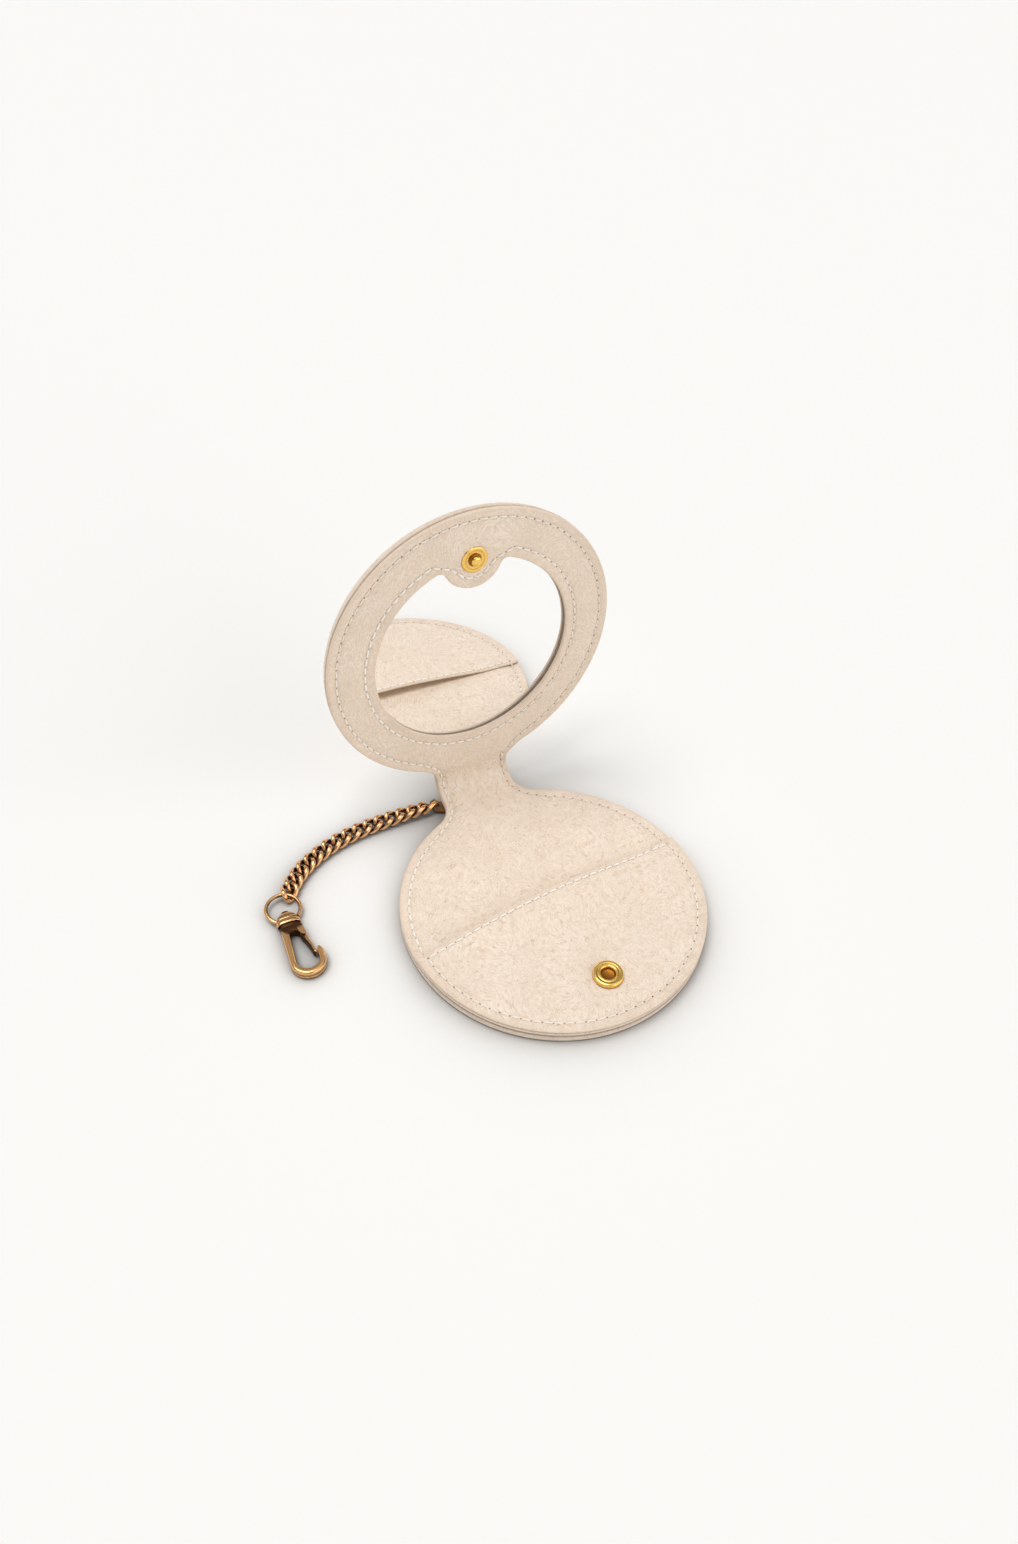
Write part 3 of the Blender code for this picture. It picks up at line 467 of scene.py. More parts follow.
# each with its bright colour and its dark colour for tarnish and painted shade, roughness, spread of the
# darkening and painted shade added all over
snapGold = metalMaterial("snapGold", (0.90, 0.58, 0.16, 1), (0.30, 0.125, 0.02, 1), 0.20, 0.42)
antiqueBrass = metalMaterial(
    "antiqueBrass", (0.72, 0.42, 0.185, 1), (0.060, 0.027, 0.012, 1), 0.22, 0.52
)
chainBrass = metalMaterial(
    "chainBrass", (0.80, 0.45, 0.215, 1), (0.075, 0.028, 0.012, 1), 0.20, 0.60
)
# a darker copy of the brass for the anchor and its rivet: painted shade, as they lie in the neck's shadow
shadedBrass = metalMaterial(
    "shadedBrass", (0.50, 0.28, 0.12, 1), (0.060, 0.027, 0.012, 1), 0.30, 0.5, 0.35
)
print("materials ready")

camera = {
    "turn": -30.084,
    "height": 45.181,
    "roll": 3.304,
    "distance": 321.615,
    "target": (13.1255, 49.5228, 0.0),
    "lens": 1089.515 * 36 / 1544,
}


def addCamera():
    # The camera looks back along a line at this turn and height, rolled about it.
    turn, height, roll = (math.radians(camera[k]) for k in ("turn", "height", "roll"))
    flat = math.cos(height)
    back = Vector((math.sin(turn) * flat, -math.cos(turn) * flat, math.sin(height)))
    right = Vector((math.cos(turn), math.sin(turn), 0))
    up = back.cross(right)
    across = right * math.cos(roll) + up * math.sin(roll)
    upward = up * math.cos(roll) - right * math.sin(roll)
    data = bpy.data.cameras.new("camera")
    data.lens = camera["lens"]
    data.sensor_width = 36
    data.clip_start, data.clip_end = 0.01, 50
    view = bpy.data.objects.new("camera", data)
    stand = Matrix.Translation((Vector(camera["target"]) + back * camera["distance"]) * mm)
    view.matrix_world = stand @ Matrix((across, upward, back)).transposed().to_4x4()
    bpy.context.scene.collection.objects.link(view)
    bpy.context.scene.camera = view


# Lamps: turn from +Y towards +X, height above the floor, power and softness.
# Sky: brightness by the height of the direction, 0 level and 1 overhead, as it
# lights matt surfaces and as it is seen directly or in metal and glass.
studio = {
    "floorHalf": 8.0,
    "floorTone": (0.972, 0.972, 0.962, 1),
    # painted shadow: the floor's tone next to the object and how far that darkening reaches
    "paintedShadowTone": (0.36, 0.355, 0.35, 1),
    "paintedShadowReach": 0.025,
    "lamps": {"ceilingLight": (-62.0, 76.0, 1.69, 40.0), "frontLight": (145.0, 20.0, 0.96, 60.0)},
    "sky": {0.0: 0.52, 0.33: 0.46, 0.60: 0.33, 0.95: 0.33},
    "warmth": (1.0, 0.985, 0.965),
    "seenSky": {0.0: 0.965, 0.34: 0.965, 0.52: 0.16, 0.78: 0.30, 0.93: 1.0},
}


def skyRamp(tree, height, tones):
    ramp = addNode(tree, "ShaderNodeValToRGB", {0: height})
    while len(ramp.color_ramp.elements) < len(tones):
        ramp.color_ramp.elements.new(0.5)
    for stop, (at, tone) in zip(ramp.color_ramp.elements, tones.items()):
        stop.position = at
        stop.color = (tone, tone, tone, 1)
    return ramp.outputs[0]


def addStudio():
    half = studio["floorHalf"]
    mesh = bpy.data.meshes.new("floor")
    corners = [(-half, -half, 0), (half, -half, 0), (half, half, 0), (-half, half, 0)]
    mesh.from_pydata(corners, [], [(0, 1, 2, 3)])
    floor = bpy.data.objects.new("floor", mesh)
    bpy.context.scene.collection.objects.link(floor)
    made, tree, shader = makeMaterial("floorPaper", Roughness=0.95)
    # The floor's colour darkens next to the object by ambient occlusion: a painted contact shadow, on top of
    # the lamps' own shadows.
    reach = {"Distance": studio["paintedShadowReach"]}
    near = addNode(tree, "ShaderNodeAmbientOcclusion", reach).outputs["AO"]
    tone = mixed(tree, ranged(tree, near, 0.35, 1.0), studio["paintedShadowTone"], studio["floorTone"])
    tree.links.new(tone, shader.inputs["Base Color"])
    shader.inputs["Specular IOR Level"].default_value = 0.1
    mesh.materials.append(made)

    for name, (turn, height, power, softness) in studio["lamps"].items():
        data = bpy.data.lights.new(name, "SUN")
        data.energy = power
        data.angle = math.radians(softness)
        data.color = studio["warmth"]
        lamp = bpy.data.objects.new(name, data)
        turn, height = math.radians(turn), math.radians(height)
        flat = math.cos(height)
        toward = Vector((math.sin(turn) * flat, math.cos(turn) * flat, math.sin(height)))
        lamp.rotation_mode = "QUATERNION"
        lamp.rotation_quaternion = toward.to_track_quat("Z", "Y")
        bpy.context.scene.collection.objects.link(lamp)

    world = bpy.data.worlds.new("studio")
    bpy.context.scene.world = world
    world.use_nodes = True
    tree = world.node_tree
    where = addNode(tree, "ShaderNodeTexCoord").outputs["Generated"]
    height = addNode(tree, "ShaderNodeSeparateXYZ", {0: where}).outputs[2]
    rays = addNode(tree, "ShaderNodeLightPath").outputs
    seen = calc(tree, "MAXIMUM", rays["Is Camera Ray"], rays["Is Glossy Ray"])
    seen = calc(tree, "MAXIMUM", seen, rays["Is Transmission Ray"])
    skies = [skyRamp(tree, height, studio[key]) for key in ("sky", "seenSky")]
    tree.links.new(mixed(tree, seen, *skies), tree.nodes["Background"].inputs["Color"])
    bpy.context.scene.view_settings.view_transform = "Standard"


addCamera()
addStudio()
print("camera and studio ready")

# Leather outlines, each with its outward direction and a mark where it is rounded.
rimCounts = {"cut": 44, "fillet": 22, "round": 500, "panelMouth": 150, "panelRim": 330}
filletRadius = (hingeY**2 - discRadius**2 + neckHalf**2) / (2 * (discRadius - neckHalf))
filletX = neckHalf + filletRadius
filletTurn = math.degrees(math.atan2(hingeY, filletX))
stepBack = math.degrees(math.asin(foldHalf / filletRadius))
cutHalf = filletX - filletRadius * math.cos(math.radians(stepBack))


def discOutline(edge):
    # A disc whose rim runs through fillets into a neck that is cut straight off.
    fillet = rimCounts["fillet"]
    across = np.linspace(cutHalf - edge, edge - cutHalf, rimCounts["cut"])
    cut = np.stack([across, np.full(rimCounts["cut"], neckStart)], 1)
    left = arcLine((-filletX, hingeY), filletRadius, -stepBack, -filletTurn, fillet)
    rim = arcLine((0, 0), discRadius, 180 - filletTurn, 360 + filletTurn, rimCounts["round"])[1:-1]
    right = arcLine((filletX, hingeY), filletRadius, 180 + filletTurn, 180 + stepBack, fillet)
    leftOut = (np.array([-filletX, hingeY]) - left) / filletRadius
    rightOut = (np.array([filletX, hingeY]) - right) / filletRadius
    line = np.concatenate([cut, left, rim, right])
    cutOut = np.tile([0.0, 1.0], (len(cut), 1))
    out = np.concatenate([cutOut, leftOut, rim / discRadius, rightOut])
    rounded = np.concatenate([np.zeros(len(cut)), np.ones(len(line) - len(cut))])
    return line, out, rounded


# The window's circle and how far below the disc's middle it sits, the bump round
# the snap, the rounded corners between them, and how many points draw each.
windowLook = {
    "radius": 27.2,
    "shift": 0.43,
    "bump": 8.1,
    "corner": 2.0,
    "ringCount": 400,
    "bumpCount": 60,
    "cornerCount": 24,
}


def windowOutline():
    # A round window with a bump for the snap, its two corners rounded.
    look = windowLook
    radius, shift, bump, corner = (look[k] for k in ("radius", "shift", "bump", "corner"))
    apart = snapFromMiddle + shift
    toRing, toBump = radius - corner, bump + corner
    along = (apart**2 + toRing**2 - toBump**2) / (2 * apart)
    aside = math.sqrt(toRing**2 - along**2)
    centre = (aside, along - shift)
    ringTurn = math.degrees(math.atan2(along, aside))
    bumpTurn = math.degrees(math.atan2(centre[1] - snapFromMiddle, aside))
    right = arcLine(centre, corner, ringTurn, bumpTurn + 180, look["cornerCount"])
    top = arcLine((0, snapFromMiddle), bump, bumpTurn, -180 - bumpTurn, look["bumpCount"])
    left = right[::-1] * (-1, 1)
    ring = arcLine((0, -shift), radius, 180 - ringTurn, 360 + ringTurn, look["ringCount"])
    return np.concatenate([right, top[1:-1], left, ring[1:-1]])


def byAngle(line, angles):
    # Where rays from the middle meet a star-shaped outline.
    turn = np.unwrap(np.arctan2(line[:, 1], line[:, 0]))
    order = np.argsort(turn)
    length = np.linalg.norm(line, axis=1)
    radius = np.interp(angles, turn[order], length[order], period=2 * np.pi)
    return np.stack([radius * np.cos(angles), radius * np.sin(angles)], 1)


def outwardOf(line):
    # Right-hand normals of a closed counter-clockwise line.
    along = unit(np.roll(line, -1, axis=0) - np.roll(line, 1, axis=0))
    return np.stack([along[:, 1], -along[:, 0]], 1)


# Seams, drawn in the flat layout. Leather sinks into the groove along a seam and
# puffs up beside it, with short puckers; the tint is painted shade along the thread.
seamLook = {
    "pitch": 2.6,
    "rimInset": 2.5,
    "rimEaseIn": 3.2,
    "cornerEaseIn": 0.35,
    "neckInset": 1.75,
    "neckReachLeft": 7.2,
    "neckReachRight": 7.8,
    "mouthAt": 1.1,
    "mouthSkew": 4.5,
    "mouthBow": 0.7,
    "mouthInset": 1.35,
    "windowInset": 2.8,
    "windowTurn": 68.5,
    "bumpTurn": 20,
    "groove": 0.30,
    "grooveWidth": 0.62,
    "puff": 0.22,
    "puffWidth": 2.6,
    "pucker": 0.05,
    "puckerAt": 1.3,
    "puckerWidth": 1.2,
    "tint": 0.13,
    "seamShadeWidth": 0.55,
}
# The leather's slow unevenness: height, turns across and along, and start.
slowHeight = 0.03
slowWaves = (
    (1.0, 0.23, 0.11, 0.6),
    (1.0, 0.13, -0.29, 2.1),
    (0.6, 0.47, 0.39, 0.0),
    (0.5, -0.35, 0.61, 1.3),
)


def mouthY(x):
    # The pocket's mouth: skewed and slightly bowed.
    bow = seamLook["mouthBow"] * (1 - (x / discRadius) ** 2)
    return seamLook["mouthAt"] + bow + x * math.tan(math.radians(seamLook["mouthSkew"]))


def mouthLine(inset, count, reach):
    x = np.linspace(-reach, reach, count)
    return np.stack([x, mouthY(x) - inset], 1)


def rimSeam(reachLeft, reachRight):
    # Parallel to the rim and the fillets, then straight up both sides of the neck,
    # with a shortcut of a few points where the rim meets a fillet.
    inset = seamLook["rimInset"]
    neckX = neckHalf - seamLook["neckInset"]
    corner = filletRadius + inset - seamLook["cornerEaseIn"]
    left = arcLine((-filletX, hingeY), corner, 0, -filletTurn, 40) + [(filletX - neckX) - corner, 0]
    right = left[::-1] * (-1, 1)
    turn = filletTurn - seamLook["rimEaseIn"]
    rim = arcLine((0, 0), discRadius - inset, 180 - turn, 360 + turn, 600)
    start = np.array([[-neckX, hingeY + reachLeft]])
    end = np.array([[neckX, hingeY + reachRight]])
    return np.concatenate([start, left[:-4], rim, right[4:], end])


def windowSeam():
    inset, turn, bumpTurn = (seamLook[k] for k in ("windowInset", "windowTurn", "bumpTurn"))
    ring = windowLook["radius"] + inset
    around = arcLine((0, -windowLook["shift"]), ring, 180 - turn, 360 + turn, 700)
    bump = windowLook["bump"] - inset
    under = arcLine((0, snapFromMiddle), bump, -bumpTurn, bumpTurn - 180, 60)
    return np.concatenate([around, under, around[:1]])


flapShift = np.array([0.0, flapMiddle])
lowerSeam = rimSeam(seamLook["neckReachLeft"], seamLook["neckReachRight"])
upperSeam = rimSeam(-1.6, -4.4) * (1, -1) + flapShift
frameSeam = windowSeam() + flapShift
mouthSeam = mouthLine(seamLook["mouthInset"], 400, 37.1)
denseSeams = {
    "inner": np.concatenate([resampled(s, 0.35) for s in (lowerSeam, upperSeam, frameSeam)]),
    "panel": np.concatenate([resampled(s, 0.35) for s in (lowerSeam, mouthSeam)]),
}


def relief(xy, seams):
    # The height that seams, puckers and unevenness add to a leather's level.
    look = seamLook
    gap = nearest(xy, denseSeams[seams])
    sink = look["groove"] * hump(gap, look["grooveWidth"])
    swell = look["puff"] * (1 - hump(gap, look["puffWidth"]))
    x, y = xy[..., 0], xy[..., 1]
    slow = sum(high * np.sin(across * x + along * y + start) for high, across, along, start in slowWaves)
    # puckers point away from the disc's middle, at an uneven spacing
    turn = np.arctan2(y - np.where(y > hingeLines[1], flapMiddle, 0.0), x)
    pucker = np.sin(61 * turn + 3 * np.sin(5 * turn)) * np.sin(23 * turn + 1.7)
    pucker *= look["pucker"] * hump(gap - look["puckerAt"], look["puckerWidth"])
    return swell - sink + slowHeight * slow + pucker


levels = {
    "liningTop": 3.5,
    "liningBottom": 2.60,
    "shellTongueTop": 2.52,
    "shellTongueBottom": 1.6,
    "frameTop": 4.6,
    "frameBottom": 3.62,
    "panelTop": 4.55,
    "panelBottom": 3.72,
    "snapDip": 0.22,
    "snapDipRadius": 5.0,
    "edge": 0.44,
    "edgeFade": 0.9,
}
# the step up to the frame: how far before the neck's end it starts and its length
frameStep = {"before": 0.3, "length": 4.8}
# how the pocket's mouth gapes: height, depth into the pocket, widest place, half width
gape = {"lift": 2.7, "reach": 5.5, "middle": -6.0, "half": 35.0, "power": 1.3}
# soft cross creases on the bent neck: place along it, depth and lean
creases = (
    (neckEnd + 0.6, 0.13, 0.02),
    (neckEnd - 2.1, 0.10, -0.03),
    (neckStart + 1.8, 0.06, 0.015),
)
creaseWidth = 0.42


def stepped(xy, low, high):
    # One level on the lower disc and the neck, a higher one on the frame.
    rise = eased((xy[..., 1] - neckEnd + frameStep["before"]) / frameStep["length"])
    return levels[low] + (levels[high] - levels[low]) * rise


def innerTop(xy):
    x, y = xy[..., 0], xy[..., 1]
    top = stepped(xy, "liningTop", "frameTop") + relief(xy, "inner")
    for at, depth, lean in creases:
        top -= depth * hump(y - at - lean * x - 0.2 * np.sin(0.5 * x), creaseWidth)
    return top


def innerBottom(xy):
    return stepped(xy, "liningBottom", "frameBottom")


def mouthLift(xy):
    # The mouth gapes most left of its middle.
    x, y = xy[..., 0], xy[..., 1]
    share = np.clip(1 - ((x - gape["middle"]) / gape["half"]) ** 2, 0, 1) ** gape["power"]
    return gape["lift"] * share * hump(mouthY(x) - y, gape["reach"])


def panelTop(xy):
    snap = np.hypot(xy[..., 0], xy[..., 1] + snapFromMiddle)
    dip = levels["snapDip"] * np.exp(-((snap / levels["snapDipRadius"]) ** 4))
    return levels["panelTop"] + relief(xy, "panel") + mouthLift(xy) - dip


def panelBottom(xy):
    return levels["panelBottom"] + mouthLift(xy)


# rows round a rolled edge, from its top to its underside
edgeTurns = np.radians(np.linspace(90, -90, 10))[1:-1]


def shareSteps(fine, coarse, fineReach):
    # Shares from the middle to the rim, close together over the last part.
    split = 1 - fineReach
    return np.concatenate([np.linspace(0, split, coarse, endpoint=False), np.linspace(split, 1, fine)])


def sheetPiece(
    name, line, out, rounded, inner, top, bottom, shares, shift=(0, 0), innerOut=None, finish=faceLeather
):
    # A sheet between an outer line and either its middle or a window: rows run over
    # the top, round the outer edge, back underneath and, at a window, round its edge.
    edge, fade = levels["edge"], levels["edgeFade"]
    shift = np.array(shift, float)
    outer = line - out * (edge * rounded)[:, None]
    inside = np.broadcast_to(inner, outer.shape)
    if innerOut is not None:
        inside = inside - innerOut * edge
    across = inside[None] + (outer - inside)[None] * shares[:, None, None] + shift
    under = across[::-3]
    if not np.allclose(under[-1], across[0]):
        under = np.concatenate([under, across[:1]])
    topZ, underZ = top(across), bottom(under)

    def rolled(base, direction, turns, amount):
        high, low = top(base + shift), bottom(base + shift)
        reach = (edge * amount)[None, :, None] * np.cos(turns)[:, None, None]
        z = (high + low)[None] / 2 + (high - low)[None] / 2 * np.sin(turns)[:, None]
        return stacked(base[None] + shift + direction[None] * reach, z)

    rows = [stacked(across, topZ), rolled(outer, out, edgeTurns, rounded), stacked(under, underZ)]
    # the edge tone, over the last part of the top and round the rolled edge, is partly the edges' own colour
    # and partly painted shade
    far = np.linalg.norm(across - across[-1:], axis=-1)
    edgeOnes = np.ones((len(edgeTurns), len(line)))
    marks = [np.exp(-far / fade) * rounded, edgeOnes * rounded, np.zeros(underZ.shape)]
    if innerOut is not None:
        rows.append(rolled(inside, innerOut, edgeTurns[::-1], np.ones(len(line))))
        marks.append(edgeOnes)
        near = np.linalg.norm(across - across[:1], axis=-1)
        marks[0] = np.maximum(marks[0], np.exp(-near / fade))
    grid = np.concatenate(rows)
    faces = gridFaces(grid.shape[0], grid.shape[1], wrapRows=innerOut is not None)
    edgeMark = np.concatenate(marks)
    # painted shade at the foot of the rolled edge and along the seams
    low = bottom(grid[..., :2])
    creaseShadeMark = hump(grid[..., 2] - low, 0.22) * (edgeMark > 0.99)
    seams = denseSeams["panel" if bottom is panelBottom else "inner"]
    gap = nearest(across, seams)
    creaseShadeMark[: len(across)] += seamLook["tint"] * hump(gap, seamLook["seamShadeWidth"])
    masks = {"edge": edgeMark, "creaseShade": creaseShadeMark}
    return addPiece(name, folded(grid), faces, finish, masks)


def lowerLeather():
    line, out, rounded = discOutline(levels["edge"])
    shares = shareSteps(fine=26, coarse=34, fineReach=0.17)
    middle = np.zeros(2)
    lining = sheetPiece("lower_lining", line, out, rounded, middle, innerTop, innerBottom, shares)
    place(lining, "pocket_disc", "leather", "inner_leather_base")

    ends = mouthLine(0, rimCounts["panelMouth"], reach=39.9)
    start = math.degrees(math.atan2(ends[0, 1], ends[0, 0])) % 360
    end = 360 + math.degrees(math.atan2(ends[-1, 1], ends[-1, 0]))
    rim = arcLine((0, 0), discRadius, start, end, rimCounts["panelRim"])
    line = np.concatenate([rim, ends[::-1][1:-1]])
    out, rounded = outwardOf(line), np.ones(len(line))
    shares = shareSteps(fine=30, coarse=30, fineReach=0.25)
    middle = np.array([0.0, -17.0])
    panel = sheetPiece(
        "pocket_panel_leather", line, out, rounded, middle, panelTop, panelBottom, shares
    )
    place(panel, "pocket_disc", "leather", "pocket_panel")


def upperLeather():
    line, out, rounded = discOutline(levels["edge"])
    line, out = line * (1, -1), out * (1, -1)
    window = byAngle(windowOutline(), np.arctan2(line[:, 1], line[:, 0]))
    windowOut = outwardOf(window)
    windowOut *= -np.sign((windowOut * window).sum(1).mean())
    # close together at the window and at the rim
    shares = np.concatenate([
        np.linspace(0, 0.3, 16, endpoint=False),
        np.linspace(0.3, 0.62, 9, endpoint=False),
        np.linspace(0.62, 1, 20),
    ])
    piece = sheetPiece(
        "mirror_frame_leather", line, out, rounded, window, innerTop, innerBottom, shares,
        flapShift, windowOut, frameLeather,
    )
    place(piece, "mirror_disc", "leather", "inner_leather_flap")


# The shell's floor and the steps drawn over it and under it, where its wall starts
# to fade into the tongue, how strongly its wall is darkened, partly its own tone and
# partly painted shade, and how strongly and how wide its lip gets painted shade.
shellLook = {
    "floor": 0.85,
    "floorSteps": 8,
    "underSteps": 19,
    "fadeFrom": 38.6,
    "wallToneAndShade": 0.6,
    "lipShade": 0.5,
    "lipWidth": 0.4,
}


def outerShell(name, wall, soft, mirrored, shift, node, body):
    # Leather turned up round the board: rows run from the inner floor up inside the
    # wall, over its lip, down outside and back underneath, as inset and height.
    # Soft is the radius of the lower edge. Towards the neck the wall fades into a
    # flat tongue at the neck's level.
    look = shellLook
    line, _, rounded = discOutline(0.0)
    floor, high, low = look["floor"], levels["shellTongueTop"], levels["shellTongueBottom"]
    rimRows = np.array([
        (0.85, floor), (0.85, wall - 0.45), (0.74, wall - 0.14), (0.5, wall), (0.24, wall - 0.05),
        (0.06, wall - 0.25), (0.0, wall - 0.4), (0.02, soft), (0.13 * soft, 0.55 * soft),
        (0.29 * soft, 0.3 * soft), (0.5 * soft, 0.13 * soft), (0.8 * soft, 0.03 * soft),
        (1.2 * soft, 0.0),
    ])
    tongueRows = np.array([
        (6.0, floor), (4.4, 1.5), (3.0, 2.2), (1.8, high - 0.05), (0.9, high), (0.0, high),
        (0.0, high - 0.25), (0.0, (high + low) / 2), (0.0, low + 0.25), (0.0, low), (1.2, low),
        (3.0, 0.8), (5.4, 0.0),
    ])
    fadeFrom = look["fadeFrom"]
    share = np.where(rounded > 0, eased((line[:, 1] - fadeFrom) / (neckStart - fadeFrom)), 1.0)
    toward = unit(line)
    rows = rimRows[:, None] * (1 - share)[None, :, None] + tongueRows[:, None] * share[None, :, None]
    wallRows = np.concatenate([line[None] - toward[None] * rows[..., :1], rows[..., 1:]], axis=-1)
    # the floor inside, level but for its last step, and the flat underside
    over, beneath, points = look["floorSteps"], look["underSteps"], len(line)
    shares = np.linspace(0, 1, over + 1)[:-1, None, None]
    level = np.full((over, points, 1), floor)
    floorRows = np.concatenate([wallRows[:1, :, :2] * shares, level], axis=-1)
    floorRows[..., 2] += (wallRows[0, :, 2] - floor) * shares[..., 0] ** 6
    shares = 1 - np.linspace(0, 1, beneath + 1)[1:, None, None]
    grid = np.concatenate([floorRows, wallRows, wallRows[-1:] * shares])
    edgeMark, creaseShade = np.zeros(grid.shape[:2]), np.zeros(grid.shape[:2])
    walls = slice(over, over + len(wallRows))
    # the wall is darkened, partly as its own tone and partly as painted shade; the lip where the layers meet
    # gets painted shade
    edgeMark[walls] = look["wallToneAndShade"]
    lip = hump(wallRows[..., 2] - wall, look["lipWidth"])
    creaseShade[walls] = look["lipShade"] * lip * (1 - share)[None]
    if mirrored:
        grid[..., 1] *= -1
    grid[..., 1] += shift
    masks = {"edge": edgeMark, "creaseShade": creaseShade}
    piece = addPiece(name, folded(grid), gridFaces(*grid.shape[:2]), shellLeather, masks)
    place(piece, body, "leather", node)


neckBodies = ["pocket_disc", "neck_1", "neck_2", "mirror_disc"]


def bendOver(piece, index):
    # The piece bends from the middle of one neck segment to the middle of the next.
    axis, height = hingeLines[index], layout["hingeZ"]
    ends = [folded([0, axis + k * foldHalf, height]) * mm for k in (-1, 1)]
    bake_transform(piece, neckBodies[index], neckBodies[index + 1], start=ends[0], end=ends[1])


def halfWidthAt(y):
    # The neck's sides are fillets at both ends that meet straight lines between.
    off = np.clip(hingeY - y, 0, None) + np.clip(y - hingeLines[2], 0, None)
    return filletX - np.sqrt(filletRadius**2 - off**2)


neckCounts = {"along": 21, "across": 61}


def neckPart(name, index, top, bottom, node, finish):
    # One strip over one fold line: a rounded flat section carried along the neck.
    edge = levels["edge"]
    y = np.linspace(hingeLines[index] - foldHalf, hingeLines[index] + foldHalf, neckCounts["along"])
    side = np.linspace(-1, 1, neckCounts["across"])
    x = side[None] * (halfWidthAt(y) - edge)[:, None]
    xy = np.stack([x, np.broadcast_to(y[:, None], x.shape)], -1)
    over, below = stacked(xy, top(xy)), stacked(xy[:, ::-1], bottom(xy[:, ::-1]))

    def rolled(column, direction, turns):
        base = xy[:, column]
        high, low = top(base), bottom(base)
        offset = edge * direction * np.cos(turns)
        along = np.broadcast_to(base[:, 1:], (len(y), len(turns)))
        z = (high + low)[:, None] / 2 + (high - low)[:, None] / 2 * np.sin(turns)
        return stacked(np.stack([base[:, :1] + offset, along], -1), z)

    right, left = rolled(-1, 1, edgeTurns), rolled(0, -1, edgeTurns[::-1])
    loop = np.concatenate([over, right, below, left], axis=1)
    count = loop.shape[1]
    ends = [list(range(count)), list(range((len(y) - 1) * count, len(y) * count))]
    # the edge tone near the neck's sides and round them is partly the edges' own colour and partly painted
    # shade
    near = np.exp(-(1 - np.abs(side)) * (neckHalf - 0.5) / levels["edgeFade"])
    edgeOnes = np.ones(len(edgeTurns))
    marks = np.concatenate([near, edgeOnes, np.zeros(len(side)), edgeOnes])
    masks = {"edge": np.tile(marks, (len(y), 1)), "creaseShade": np.zeros(loop.shape[:2])}
    faces = gridFaces(len(y), count).tolist() + ends
    piece = addPiece(f"{name}_{index + 1}", folded(loop), faces, finish, masks)
    if index < 2:
        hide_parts(f"{node}_{index + 1}")
    bendOver(piece, index)


def tongueTop(xy):
    return np.full(xy.shape[:-1], levels["shellTongueTop"])


def tongueBottom(xy):
    return np.full(xy.shape[:-1], levels["shellTongueBottom"])


lowerLeather()
upperLeather()
outerShell(
    "lower_outer_leather", wall=2.2, soft=0.99, mirrored=False, shift=0.0,
    node="outer_leather_base", body="pocket_disc",
)
outerShell(
    "upper_outer_leather", wall=3.55, soft=2.9, mirrored=True, shift=flapMiddle,
    node="outer_leather_flap", body="mirror_disc",
)
for name, top, bottom, node, finish in (
    ("neck_lining_fold", innerTop, innerBottom, "inner_neck", faceLeather),
    ("neck_outer_fold", tongueTop, tongueBottom, "outer_neck", shellLeather),
):
    for index in range(3):
        neckPart(name, index, top, bottom, node, finish)
print("leather ready")

# Gap is the bare length of leather between two stitches' ends, sag and rise set how
# the thread dips into its holes, and shown is the size of a stitch that hardly shows
# and what it gains where it shows fully. Dish rows are radius share and height.
thread = {
    "radius": 0.235,
    "gap": 0.46,
    "sag": 0.22,
    "rise": 0.20,
    "lift": 0.25,
    "swellPower": 0.35,
    "endRadius": 0.35,
    "shown": (0.60, 0.40),
    "flatness": (1.1, 0.9),
    "rows": 9,
    "sides": 8,
    "holeRadius": 0.29,
    "holeStretch": 1.2,
    "dish": ((1.0, 0.012), (0.62, 0.05), (0.0, 0.035)),
}


def stitchTubes(start, end, up, show):
    # A tube from hole to hole that dips into both and rises in between.
    along = end - start
    length = np.linalg.norm(along, axis=1)[:, None]
    along = along / length
    side = unit(np.cross(up, along))
    u = np.linspace(0, 1, thread["rows"])
    swell = np.sin(np.pi * u) ** thread["swellPower"]
    reach = thread["gap"] / 2 + (length - thread["gap"]) * u[None]
    least, more = thread["shown"]
    strength = (least + more * show)[:, None]
    rise = -thread["sag"] + (thread["lift"] * strength + thread["rise"]) * swell[None]
    middle = start[:, None] + along[:, None] * reach[..., None] + up[:, None] * rise[..., None]
    turn = np.linspace(0, 2 * np.pi, thread["sides"], endpoint=False)[:, None]
    ends, (wide, high) = thread["endRadius"], thread["flatness"]
    radius = thread["radius"] * (ends + (1 - ends) * swell)[None] * strength
    ring = side[:, None, None] * (np.cos(turn) * wide) + up[:, None, None] * (np.sin(turn) * high)
    tubes = middle[:, :, None] + ring * radius[..., None, None]
    caps = np.broadcast_to(middle[:, [0, -1], None], tubes[:, :2].shape)
    return np.concatenate([caps[:, :1], tubes, caps[:, 1:]], axis=1), along


def dimples(spots, upward, forward, show):
    # A dimple lies on the leather as a shallow dish of three rings.
    turn = np.linspace(0, 2 * np.pi, thread["sides"], endpoint=False)[:, None]
    across = np.cross(upward, forward)
    shares, heights = np.array(thread["dish"]).T[..., None, None]
    lengthwise = np.cos(turn) * thread["holeStretch"]
    flat = forward[:, None, None] * lengthwise + across[:, None, None] * np.sin(turn)
    spread = thread["holeRadius"] * (1 - 0.5 * show)[:, None, None, None]
    return spots[:, None, None] + flat * shares * spread + upward[:, None, None] * heights


def repeatedFaces(grids):
    # The same faces for each of a row of grids.
    count, rows, sides = grids.shape[:3]
    firsts = (np.arange(count) * rows * sides)[:, None, None]
    return (gridFaces(rows, sides)[None] + firsts).reshape(-1, 4)


